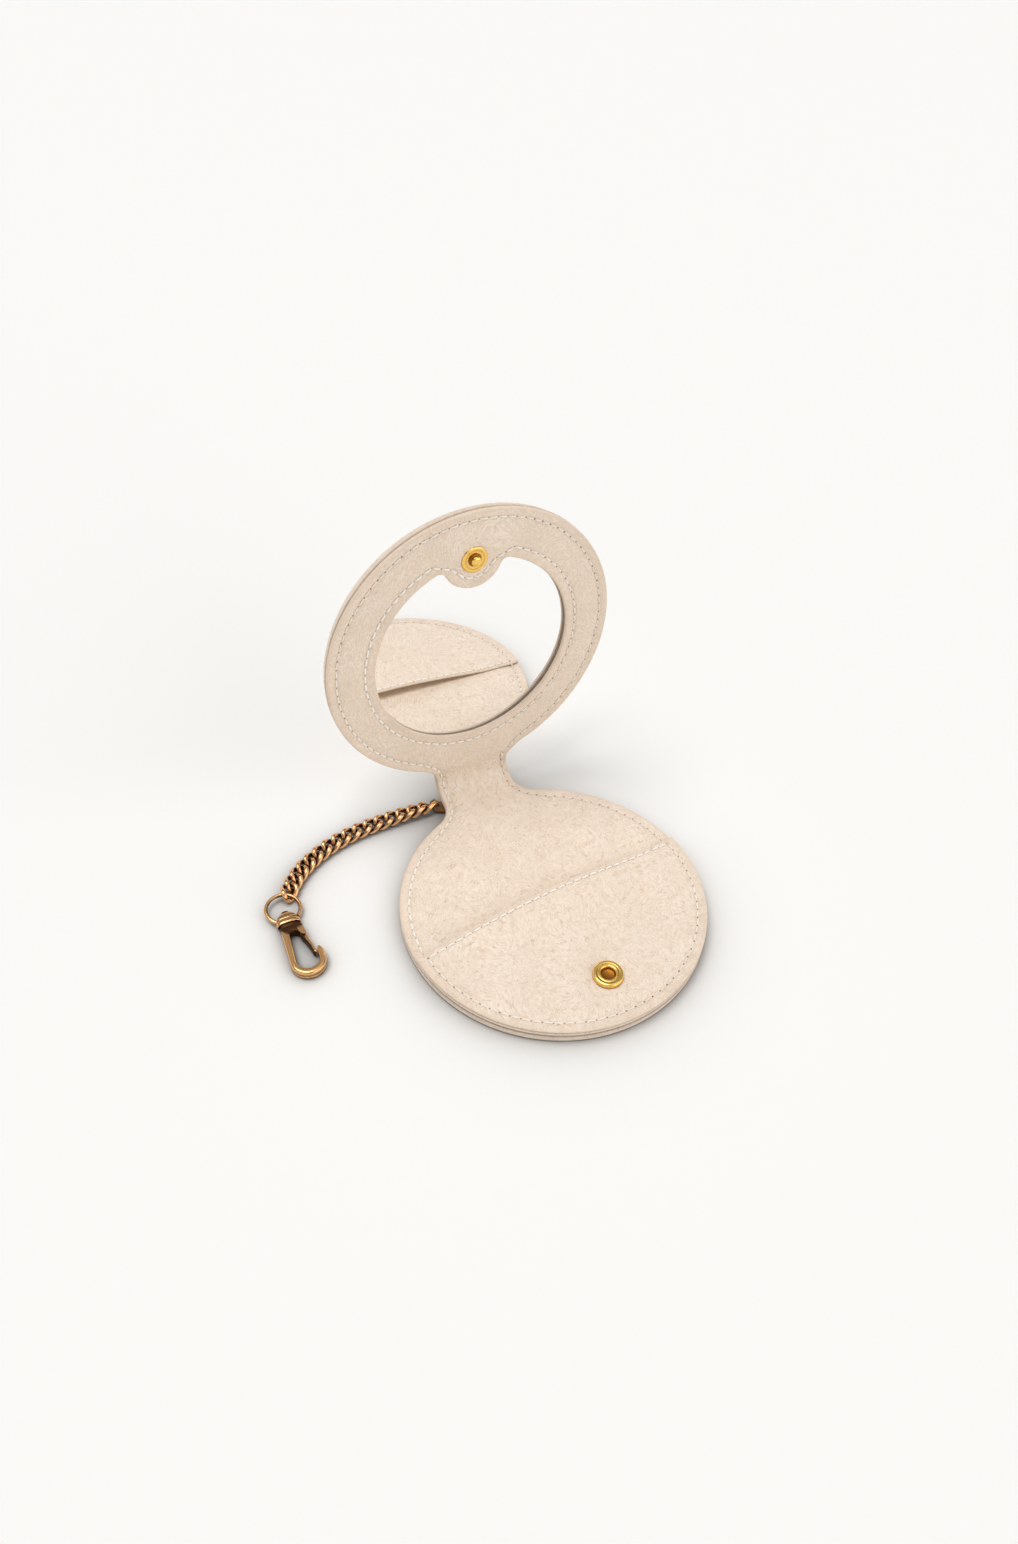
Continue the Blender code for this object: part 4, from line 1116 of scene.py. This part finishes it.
def stitchMesh(name, holes, top, show, first, last):
    # Short tubes of thread, and dimples painted dark as the shade in the needle holes. A
    # stitch that shows less is thinner, lower and tinted like the leather.
    base = stacked(holes, top(holes))
    spots = folded(base)
    upward = folded(base + [0, 0, 1]) - spots
    tubes, along = stitchTubes(spots[:-1], spots[1:], (upward[:-1] + upward[1:]) / 2, show)
    forward = np.vstack([along, along[-1:]])
    dishes = dimples(spots, upward, forward, np.append(show, show[-1]))
    tubes, dishes = tubes[first:last], dishes[first : last + (last == len(show))]
    points = np.concatenate([tubes.reshape(-1, 3), dishes.reshape(-1, 3)])
    faces = np.concatenate([repeatedFaces(tubes), repeatedFaces(dishes) + tubes.size // 3])
    tint = np.repeat(1 - show[first:last], tubes[0].size // 3)
    masks = {"buried": np.concatenate([tint, np.full(dishes.size // 3, 2.0)])}
    piece = addPiece(name, points, faces, creamThread, masks, sharpAngle=80)
    paintDimples(piece, upward[(first + last) // 2])
    return piece


def paintDimples(piece, upward):
    # Dimple points carry the mark 2: their faces get the holes' painted shade and are turned upwards.
    piece.data.materials.append(holeShadeMaterial)
    shape = bmesh.new()
    shape.from_mesh(piece.data)
    layer = shape.verts.layers.float["buried"]
    for face in shape.faces:
        if face.verts[0][layer] > 1.5:
            face.material_index = 1
            if face.normal.dot(Vector(upward)) < 0:
                face.normal_flip()
    shape.to_mesh(piece.data)
    shape.free()


def seamPieces(name, line, top, showAt):
    # The stitches of one seam, split where it passes from one body to the next.
    holes = resampled(line, seamLook["pitch"])
    middles = (holes[:-1] + holes[1:]) / 2
    show = np.clip(showAt(middles), 0, 1)
    borders = np.array([neckStart, neckStart + 2 * foldHalf, neckEnd - 2 * foldHalf, neckEnd])
    zone = np.searchsorted(borders, middles[:, 1])
    cuts = np.concatenate([[0], np.where(np.diff(zone) != 0)[0] + 1, [len(zone)]])
    for part, (first, last) in enumerate(zip(cuts[:-1], cuts[1:])):
        piece = stitchMesh(f"{name}_{part + 1}", holes, top, show, first, last)
        if zone[first] in (0, 4):
            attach(piece, "mirror_disc" if zone[first] else "pocket_disc")
        else:
            bendOver(piece, zone[first] - 1)


def faceTop(xy):
    # The panel's top where the pocket covers the lining, the lining's top elsewhere.
    return np.where(xy[..., 1] < mouthY(xy[..., 0]) - 0.2, panelTop(xy), innerTop(xy))


def byTurn(middle, stops):
    # How much thread shows, by the direction from a disc's middle.
    turns, values = np.array(sorted(stops.items()), float).T

    def showAt(xy):
        turn = np.degrees(np.arctan2(xy[:, 1] - middle, xy[:, 0])) % 360
        return np.interp(turn, turns, values, period=360)

    return showAt


seamPieces("lower_rim_stitches", lowerSeam, faceTop, byTurn(0.0, {
    20: 0.5, 60: 0.5, 75: 0.2, 90: 0.2, 104: 1, 175: 1, 192: 0.5, 225: 0.6, 250: 0.75, 275: 0.35,
    300: 0.3, 330: 0.6,
}))
seamPieces("pocket_mouth_stitches", mouthSeam, panelTop, byTurn(0.0, {0: 1}))
seamPieces("upper_rim_stitches", upperSeam, innerTop, byTurn(flapMiddle, {
    0: 0.3, 45: 0.4, 90: 0.75, 130: 0.4, 160: 0.35, 185: 0.7, 250: 0.95, 290: 0.7,
}))
seamPieces("window_stitches", frameSeam, innerTop, byTurn(flapMiddle, {
    0: 0.55, 45: 0.6, 90: 1, 180: 1, 270: 1, 320: 0.6,
}))
print("stitches ready")


def turnedPiece(name, profile, finish, shift, count=72, lean=0.0):
    # A profile of radius, height and a mark for tarnish and painted shade swept once round an upright axis.
    profile = np.array(profile, float)
    turn = np.linspace(0, 2 * np.pi, count, endpoint=False)
    x = profile[:, :1] * np.cos(turn)
    y = profile[:, :1] * np.sin(turn) + shift
    z = np.broadcast_to(profile[:, 1:2], x.shape) + lean * x
    shadeAndTarnish = np.broadcast_to(profile[:, 2:], x.shape)
    grid = folded(np.stack([x, y, z], -1))
    return addPiece(name, grid, gridFaces(*grid.shape[:2]), finish, {"shadeAndTarnish": shadeAndTarnish}, 50)


def sweptTube(path, radius, sides, closed=True):
    # A round wire carried along a line, its frame kept level.
    ahead = np.roll(path, -1, axis=0) - np.roll(path, 1, axis=0)
    if not closed:
        ahead[0], ahead[-1] = path[1] - path[0], path[-1] - path[-2]
    ahead = unit(ahead)
    side = unit(np.cross((0, 0, 1), ahead))
    over = np.cross(ahead, side)
    turn = np.linspace(0, 2 * np.pi, sides, endpoint=False)[None, :, None]
    outward = side[:, None] * np.cos(turn) + over[:, None] * np.sin(turn)
    return path[:, None] + radius * outward, outward


# Profiles of radius, height and a mark for tarnish and painted shade, darkest in the socket's well
# and at the stud's waist. The socket's are measured from the pocket, the stud's from its own face on the
# frame.
snapLook = {
    "socketSeat": 4.52,
    "socketTop": 5.98,
    "studFace": 5.12,
    "stud": [
        (0, 1.25, 0), (0.6, 1.24, 0), (0.98, 1.15, 0), (1.22, 0.98, 0.05), (1.32, 0.78, 0.2),
        (1.26, 0.55, 0.5), (1.10, 0.34, 0.9), (1.10, 0.12, 1), (1.30, -0.06, 1),
        (1.62, -0.12, 0.8), (1.95, -0.02, 0.15), (2.2, 0.03, 0), (2.42, -0.02, 0.4),
        (2.58, -0.04, 0.45), (2.75, 0.02, 0.1), (3.1, 0.05, 0), (3.35, 0, 0.05),
        (3.48, -0.13, 0.25), (3.5, -0.3, 0.6), (3.3, -0.5, 0.9), (0, -0.7, 1),
    ],
}
# the glass: a disc with a ground edge that lies a touch askew in its frame
glassLook = {
    "sides": 160,
    "lean": -0.0082,
    "profile": [
        (0, 3.42, 0), (28.1, 3.42, 0), (28.2, 3.42, 0), (28.6, 3.38, 0), (28.85, 3.28, 0),
        (29.0, 3.1, 0), (29.0, 2.75, 0), (28.85, 2.58, 0), (28.5, 2.5, 0), (28.4, 2.5, 0),
        (0, 2.5, 0),
    ],
}


def snapPieces():
    seat, top, face = (snapLook[k] for k in ("socketSeat", "socketTop", "studFace"))
    socket = [
        (0, seat + 0.2, 1), (1.5, seat + 0.2, 1), (1.72, seat + 0.3, 0.9),
        (1.80, top - 0.75, 0.35), (1.86, top - 0.40, 0.1), (1.98, top - 0.16, 0),
        (2.18, top - 0.03, 0), (2.40, top, 0), (2.62, top - 0.05, 0.3),
        (2.74, top - 0.10, 0.55), (2.86, top - 0.05, 0.25), (3.3, top - 0.02, 0),
        (3.52, top - 0.06, 0), (3.68, top - 0.16, 0.05), (3.80, top - 0.36, 0.1),
        (3.87, top - 0.6, 0.25), (3.9, seat + 0.5, 0.4), (3.87, seat + 0.2, 0.7),
        (3.7, seat, 0.9), (0, seat - 0.4, 1),
    ]
    piece = turnedPiece("snap_socket_ring", socket, snapGold, -snapFromMiddle)
    place(piece, "pocket_disc", "snap_metal", "snap_socket")
    stud = [(radius, face + height, shadeAndTarnish) for radius, height, shadeAndTarnish in snapLook["stud"]]
    piece = turnedPiece("snap_stud_cap", stud, snapGold, flapMiddle + snapFromMiddle)
    place(piece, "mirror_disc", "snap_metal", "snap_stud")


def mirrorPiece():
    profile, sides, lean = (glassLook[k] for k in ("profile", "sides", "lean"))
    piece = turnedPiece("mirror_disc_glass", profile, silvered, flapMiddle, sides, lean)
    place(piece, "mirror_disc", "mirror", "mirror_glass")


snapPieces()
mirrorPiece()
print("snap and glass ready")

# Sizes of a link, the way the row of them lies on the table, and how the first and
# the last few are rolled. A link's wire is probed a little outside its surface: the
# nearer another wire, the darker, partly tarnish and partly painted shade.
chain = {
    "count": 16,
    "pitch": 3.275,
    "wire": 0.64,
    "wireInCad": 0.625,
    "halfLength": 2.4,
    "halfWidth": 1.8,
    "twist": 0.86,
    "start": (-15.1, 45.43),
    "heading": 175.7,
    "turn": 58.93,
    "curl": 2.07,
    "roll": 27.0,
    "rolled": 4,
    "sides": 22,
    "points": 72,
    "floorGap": 0.02,
    "probe": 0.55,
    "probeFade": 0.42,
    "facingShadeAndTarnish": 0.95,
    "underShade": 0.35,
    "skipped": 14,
}


def linkLine(roll):
    # A curb link: an ellipse twisted by a double wave, then rolled about its length.
    t = np.linspace(0, 2 * np.pi, chain["points"], endpoint=False)
    x, y = chain["halfLength"] * np.cos(t), chain["halfWidth"] * np.sin(t)
    z = -chain["twist"] * np.sin(2 * t)
    c, s = math.cos(roll), math.sin(roll)
    return np.stack([x, y * c - z * s, y * s + z * c], 1)


def turnedBy(points, angle):
    c, s = math.cos(angle), math.sin(angle)
    x, y = points[..., 0], points[..., 1]
    return np.stack([x * c - y * s, x * s + y * c, points[..., 2]], -1)


def chainLines():
    # Link middles step by half pitches along neighbouring headings.
    n = chain["count"]
    turned = chain["turn"] * (np.arange(n) / (n - 1)) ** chain["curl"]
    headings = np.radians(chain["heading"] + turned)
    steps = np.stack([np.cos(headings), np.sin(headings)], 1) * chain["pitch"] / 2
    moves = np.vstack([[0, 0], np.cumsum(steps[:-1] + steps[1:], axis=0)])
    middles = np.array(chain["start"]) + moves
    lines = []
    for i in range(n):
        lead = max(chain["rolled"] - i, 0) / chain["rolled"]
        trail = max(chain["rolled"] - (n - 1 - i), 0) / chain["rolled"]
        line = linkLine(math.radians(chain["roll"]) * (lead - trail))
        level = -line[:, 2].min() + chain["wireInCad"] + chain["floorGap"]
        lines.append(turnedBy(line, headings[i]) + [*middles[i], level])
    return lines, middles[-1], headings[-1], level


def chainPieces(lines):
    # Darker where a link's wire closely faces another wire, partly tarnish and partly painted shade, and
    # painted shade on the underside that faces the table.
    wire, sides, skipped = chain["wire"], chain["sides"], chain["skipped"]
    for i, line in enumerate(lines):
        tube, outward = sweptTube(line, wire, sides)
        tube[..., 2] = np.maximum(tube[..., 2], chain["floorGap"])
        probe = tube + outward * chain["probe"]
        around = [lines[k] for k in (i - 1, i + 1) if 0 <= k < len(lines)]
        gap = nearest(probe, np.concatenate(around)) - wire
        # the link's own wire counts too, but for the stretch next to each point
        for shift in range(skipped, len(line) - skipped + 1, 3):
            other = np.roll(line, -shift, axis=0)[:, None]
            gap = np.minimum(gap, np.linalg.norm(probe - other, axis=-1) - wire)
        facing = chain["facingShadeAndTarnish"] * np.exp(-np.clip(gap, 0, None) / chain["probeFade"])
        under = chain["underShade"] * np.clip(-outward[..., 2], 0, 1)
        faces = gridFaces(len(line), sides, wrapRows=True)
        masks = {"shadeAndTarnish": np.clip(facing + under, 0, 1)}
        piece = addPiece(f"chain_link_{i + 1:02d}", tube, faces, chainBrass, masks)
        place(piece, f"link_{i + 1:02d}", "chain_metal", f"link_{i + 1:02d}")


chainLinks, lastMiddle, lastHeading, lastLevel = chainLines()
chainPieces(chainLinks)
print("chain ready")

clip = {
    "heading": -92.785,
    "level": 1.42,
    "eyeReach": 3.38,
    "ringRadius": 4.39,
    "ringWire": 0.5,
    "ringLead": 1.05,
    "ringCut": 10.0,
    "ringCutAt": 41.0,
    "ringPoints": 110,
    "ringSides": 18,
    "ringCapShare": 0.86,
}
clipTurn = math.radians(clip["heading"])
chainWay = np.array([math.cos(lastHeading), math.sin(lastHeading)])
ringMiddle = lastMiddle + chainWay * (clip["ringLead"] + clip["ringRadius"])
clipOrigin = ringMiddle + np.array([math.cos(clipTurn), math.sin(clipTurn)]) * clip["eyeReach"]


def clipToWorld(points):
    # Clip axes: along the clip, across it, up.
    return turnedBy(np.asarray(points, float), clipTurn) + [*clipOrigin, clip["level"]]


def jumpRing():
    # A wire circle with a small gap, tilted to pass through the last link.
    radius, sides, share = clip["ringRadius"], clip["ringSides"], clip["ringCapShare"]
    tilt = math.asin((lastLevel - clip["level"]) / (2 * radius))
    span = (360 - clip["ringCut"]) * np.linspace(0, 1, clip["ringPoints"])
    turn = np.radians(clip["ringCutAt"] + span)
    flat = np.stack([radius * np.cos(turn), radius * np.sin(turn), 0 * turn], 1)
    lead = lastHeading - clipTurn
    back = -radius * np.array([math.cos(lead), math.sin(lead), 0])

    def tilted(p):
        c, s = math.cos(tilt), math.sin(tilt)
        return np.stack([p[..., 0] * c + p[..., 2] * s, p[..., 1], p[..., 2] * c - p[..., 0] * s], -1)

    tube, outward = sweptTube(flat, clip["ringWire"], sides, closed=False)
    first, last = (np.broadcast_to(flat[[k]], (1, sides, 3)) for k in (0, -1))
    shrunk = [ends * (1 - share) + rows * share for ends, rows in ((first, tube[:1]), (last, tube[-1:]))]
    grid = np.concatenate([first, shrunk[0], tube, shrunk[1], last])
    # darker on the inner side: tarnish and painted shade
    inward = -(outward * flat[:, None]).sum(-1) / radius
    shadeAndTarnish = np.clip(0.15 + 0.5 * np.clip(inward, 0, 1), 0, 1)
    shadeAndTarnish = np.concatenate([shadeAndTarnish[:2], shadeAndTarnish, shadeAndTarnish[-2:]])
    grid = turnedBy(tilted(grid - back), clipTurn)
    foot, level = ringMiddle - chainWay * radius, (clip["level"] + lastLevel) / 2
    grid = grid + [*foot, level + tilted(back)[2]]
    faces = gridFaces(*grid.shape[:2])
    piece = addPiece("clip_ring", grid, faces, antiqueBrass, {"shadeAndTarnish": shadeAndTarnish})
    place(piece, "jump_ring", "chain_metal", "jump_ring")


# Rows along the clip: bead, two ridges, collar, lip and a plug inside it, painted
# dark as the shade in the bell's hollow. The columns are along, half width, half
# height and a mark for tarnish and painted shade. Each row is a flattened round,
# the squarer the smaller its power, and cut off level at its lowest.
bellLook = {
    "sides": 64,
    "power": 0.8,
    "lowest": -1.39,
    "sideShade": 1.35,
    "rows": np.array([
        (-2.45, 0.0, 0.0, 0.2), (-2.43, 0.45, 0.38, 0.1), (-2.30, 0.80, 0.66, 0.2),
        (-2.10, 0.92, 0.76, 0.5), (-1.90, 0.88, 0.74, 0.9), (-1.75, 1.00, 0.85, 0.9),
        (-1.50, 1.50, 1.08, 0.3), (-1.20, 1.95, 1.20, 0.05), (-0.85, 2.25, 1.28, 0),
        (-0.60, 2.38, 1.30, 0.25), (-0.48, 2.42, 1.28, 0.9), (-0.36, 2.50, 1.28, 0.9),
        (-0.22, 2.66, 1.38, 0.25), (0.0, 2.82, 1.44, 0), (0.25, 2.92, 1.47, 0),
        (0.42, 2.94, 1.44, 0.3), (0.50, 2.93, 1.38, 0.9), (0.60, 2.95, 1.38, 0.9),
        (0.70, 3.04, 1.46, 0.2), (0.95, 3.12, 1.50, 0), (1.40, 3.17, 1.52, 0),
        (1.72, 3.14, 1.49, 0), (1.90, 3.04, 1.40, 0.1), (1.94, 2.92, 1.30, 0.6),
        (1.86, 2.78, 1.15, 1), (1.60, 2.70, 1.05, 1), (2.00, 2.60, 1.00, 1),
        (2.80, 2.50, 0.95, 1), (2.90, 2.3, 0.9, 1), (2.90, 0.0, 0.0, 1),
    ]),
}


def swivelBell():
    rows, sides, power = bellLook["rows"], bellLook["sides"], bellLook["power"]
    turn = np.linspace(0, 2 * np.pi, sides, endpoint=False)
    across, above = (np.sign(v) * np.abs(v) ** power for v in (np.cos(turn), np.sin(turn)))
    along = np.broadcast_to(rows[:, :1], (len(rows), sides))
    grid = np.stack([along, rows[:, 1:2] * across, rows[:, 2:3] * above], -1)
    grid[..., 2] = np.maximum(grid[..., 2], bellLook["lowest"])
    # painted shade on the sides up to the collar
    side = bellLook["sideShade"] * np.clip(np.abs(across) - 0.75, 0, 1)
    shadeAndTarnish = np.clip(rows[:, 3:] + side[None] * (rows[:, :1] < 0.6), 0, 1)
    faces = gridFaces(*grid.shape[:2])
    piece = addPiece("swivel_bell", clipToWorld(grid), faces, antiqueBrass, {"shadeAndTarnish": shadeAndTarnish}, 60)
    place(piece, "swivel_eye", "chain_metal", "swivel_eye")


def smoothed(line):
    # Twice over, every corner is cut at a quarter and three quarters of its edges.
    line = np.array(line, float)
    for _ in range(2):
        near, far = line[:-1], line[1:]
        cut = np.stack([0.75 * near + 0.25 * far, 0.25 * near + 0.75 * far], 1).reshape(-1, 2)
        line = np.concatenate([line[:1], cut, line[-1:]])
    return line


# Half widths of the groove's floor and its edge, how dark it is, the rounded ends'
# reach and rows, and the points on each rounded edge of the section.
barLook = {
    "grooveFoot": 0.10,
    "grooveEdge": 0.24,
    "grooveMark": 0.55,
    "capReach": 0.7,
    "capTurns": (28, 55, 76, 90),
    "quarterPoints": 9,
}


def barPiece(name, outer, inner, half, shadeAndTarnishAt, roundness, groove, body, node):
    # A bar between an outer and an inner line: its section is a block with rounded
    # edges and a fine groove along its outer side, and its ends are rounded off.
    look = barLook
    centre, arm = (outer + inner) / 2, (inner - outer) / 2
    width = np.linalg.norm(arm, axis=1)
    across = arm / width[:, None]
    width, half = width[:, None], np.broadcast_to(half, width.shape)[:, None]
    turn = np.radians(np.linspace(0, 90, look["quarterPoints"]))
    r = np.minimum(roundness, width * 0.75)
    sunk = -width + np.array([[groove, groove, 0.0]])
    footHeights = [[0.0, look["grooveFoot"], look["grooveEdge"]]]
    foot = np.stack([sunk, np.broadcast_to(footHeights, sunk.shape)], -1)
    upper = np.stack([-width + r * (1 - np.cos(turn)), half - r * (1 - np.sin(turn))], -1)
    side = np.concatenate([foot, upper], axis=1)
    innerSide = side[:, ::-1] * (-1, 1)
    innerSide[:, -3:, 0] = width
    top = np.concatenate([side, innerSide], axis=1)
    section = np.concatenate([top, top[:, ::-1][:, 1:-1] * (1, -1)], axis=1)
    grid = stacked(centre[:, None] + across[:, None] * section[..., :1], section[..., 1])
    share = np.clip(section[..., 0] / width, -1, 1)
    grooved = (np.abs(section[..., 1]) < 0.12) & (share < -0.5) & (groove > 0)
    shadeAndTarnish = shadeAndTarnishAt(grid, share) + look["grooveMark"] * grooved
    bulge = [(math.sin(a), math.cos(a)) for a in np.radians(look["capTurns"])]
    caps = []
    for k, other in ((0, 1), (-1, -2)):
        way = unit(centre[k] - centre[other]) * min(width[k, 0], look["capReach"])
        way, middle = np.append(way, 0.0), np.append(centre[k], 0.0)
        rows = [middle + way * s + (grid[k] - middle) * c for s, c in bulge]
        caps.append(np.array(rows[::-1] if k == 0 else rows))
    grid = np.concatenate([caps[0], grid, caps[1]])
    ends = [0] * len(bulge)
    shadeAndTarnish = np.clip(np.concatenate([shadeAndTarnish[ends], shadeAndTarnish, shadeAndTarnish[[-1] * len(ends)]]), 0, 1)
    faces = gridFaces(*grid.shape[:2])
    piece = addPiece(name, clipToWorld(grid), faces, antiqueBrass, {"shadeAndTarnish": shadeAndTarnish}, 50)
    place(piece, body, "chain_metal", node)


# Corner points of the hook's outer and inner line, each along and across the clip:
# its root at the bridge, the straight arm, the bend's middle and radius, and the nose.
hookLook = {
    "half": 1.38,
    "roundness": 0.62,
    "groove": 0.12,
    "outer": {
        "root": [(2.85, 1.5), (2.85, 0.2), (2.85, -1.2), (2.85, -2.4), (2.98, -2.72), (3.2, -2.74)],
        "armEnd": (14.3, -3.38),
        "bend": ((14.55, 1.1), 4.5),
        "nose": [(14.3, 5.6), (13.4, 5.62), (12.6, 5.50), (12.0, 5.15), (11.75, 4.75)],
    },
    "inner": {
        "root": [(5.9, 1.5), (5.35, 1.05), (5.05, 0.4), (5.1, -0.3), (5.6, -0.85), (6.6, -1.02)],
        "armEnd": (14.1, -1.66),
        "bend": ((14.3, 1.12), 2.8),
        "nose": [(14.1, 3.92), (13.4, 3.95), (12.8, 4.03), (12.3, 4.17), (11.95, 4.4)],
    },
}
# the two ears beside the gate's root: their slot and their face, and their two lines
earLook = {
    "count": 24,
    "bevel": 0.14,
    "heights": {"upper": (0.80, 1.44), "lower": (-0.80, -1.40)},
    "outer": [(2.95, 2.70), (4.2, 2.90), (5.8, 3.10), (6.7, 3.14), (7.0, 2.85)],
    "inner": [(2.95, 1.1), (4.2, 1.25), (5.2, 1.4), (6.3, 1.65), (6.95, 2.2)],
}
# the gate's two lines; its root is thinner, to fit between the ears
gateLook = {
    "count": 60,
    "rootHalf": 0.62,
    "thicker": 0.50,
    "rootEnd": 7.0,
    "roundness": 0.34,
    "outer": [(4.3, 2.60), (5.4, 2.95), (7.0, 3.02), (9.0, 3.36), (11.6, 3.76), (12.9, 3.86)],
    "inner": [(4.3, 1.50), (5.4, 1.30), (7.0, 1.45), (8.8, 2.20), (11.2, 2.72), (12.7, 2.95)],
}


def hookLine(look):
    # From the gate's side of the top bridge, down the straight arm, round the bend
    # and up to the nose.
    root, armEnd = look["root"], look["armEnd"]
    return np.concatenate([
        evenly(smoothed(root), 26),
        np.linspace(root[-1], armEnd, 50)[1:],
        arcLine(*look["bend"], -90, 90, 60)[1:],
        evenly(smoothed(look["nose"]), 20),
    ])


def hookPiece():
    def shadeAndTarnishAt(grid, share):
        # painted shade, with some tarnish: under the collar, on the bridge, on the walls of the opening and
        # underneath
        collar = hump(np.clip(grid[..., 0] - 3.1, 0, None), 1.3)
        bridge = 0.85 * hump(grid[..., 0] - 4.4, 1.6) * (np.abs(grid[..., 1] - 0.2) < 2.0)
        wall = 0.55 * np.clip((share - 0.86) / 0.14, 0, 1)
        return 0.05 + collar + bridge + wall + 0.35 * (grid[..., 2] < -0.4)

    look = hookLook
    outer, inner = hookLine(look["outer"]), hookLine(look["inner"])
    shape = (look["half"], shadeAndTarnishAt, look["roundness"], look["groove"])
    barPiece("clip_hook", outer, inner, *shape, "clip_body", "clip_body")


def earPieces():
    # Two flat ears beside the gate's root, above and below its slot.
    count, bevel = earLook["count"], earLook["bevel"]
    outer, inner = (evenly(smoothed(earLook[k]), count) for k in ("outer", "inner"))
    for label, (slot, face) in earLook["heights"].items():
        edge = face - math.copysign(bevel, face)
        section = [(0.5, slot), (0, slot), (0, edge), (0.08, face), (0.92, face), (1, edge), (1, slot)]
        rows = np.array([stacked(outer * (1 - s) + inner * s, np.full(count, z)) for s, z in section])
        sides = len(section)
        faces = gridFaces(sides, count, wrapRows=True, wrapColumns=False).tolist()
        faces += [[k * count + end for k in range(sides)] for end in (0, count - 1)]
        # painted shade with some tarnish: darker all over, most where the ears lie under the collar
        shadeAndTarnish = 0.25 + 0.75 * hump(np.clip(rows[..., 0] - 3.2, 0, None), 1.2)
        masks = {"shadeAndTarnish": shadeAndTarnish}
        piece = addPiece(f"clip_ear_{label}", clipToWorld(rows), faces, antiqueBrass, masks)
        place(piece, "clip_body", "chain_metal")


def gatePiece():
    # A sprung lever: bright outer ridge, inner side darkened with painted shade and tarnish, thinner towards
    # its tip.
    def shadeAndTarnishAt(grid, share):
        return 0.12 + 0.75 * np.clip((share + 0.15) / 0.8, 0, 1)

    look = gateLook
    outer, inner = (evenly(smoothed(look[k]), look["count"]) for k in ("outer", "inner"))
    half = look["rootHalf"] + look["thicker"] * eased((outer[:, 0] - look["rootEnd"]) / 0.5)
    barPiece("clip_gate", outer, inner, half, shadeAndTarnishAt, look["roundness"], 0.0, "gate", "gate")


jumpRing()
swivelBell()
hookPiece()
earPieces()
gatePiece()
print("clip ready")

for name, finish in (
    ("base_board", boardMaterial),
    ("flap_board", boardMaterial),
    ("mirror_surround", boardMaterial),
    ("chain_anchor", shadedBrass),
    ("anchor_rivet", shadedBrass),
    ("gate_pin", antiqueBrass),
):
    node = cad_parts[name]
    node.data.materials.clear()
    node.data.materials.append(finish)
print("carried-over nodes painted")
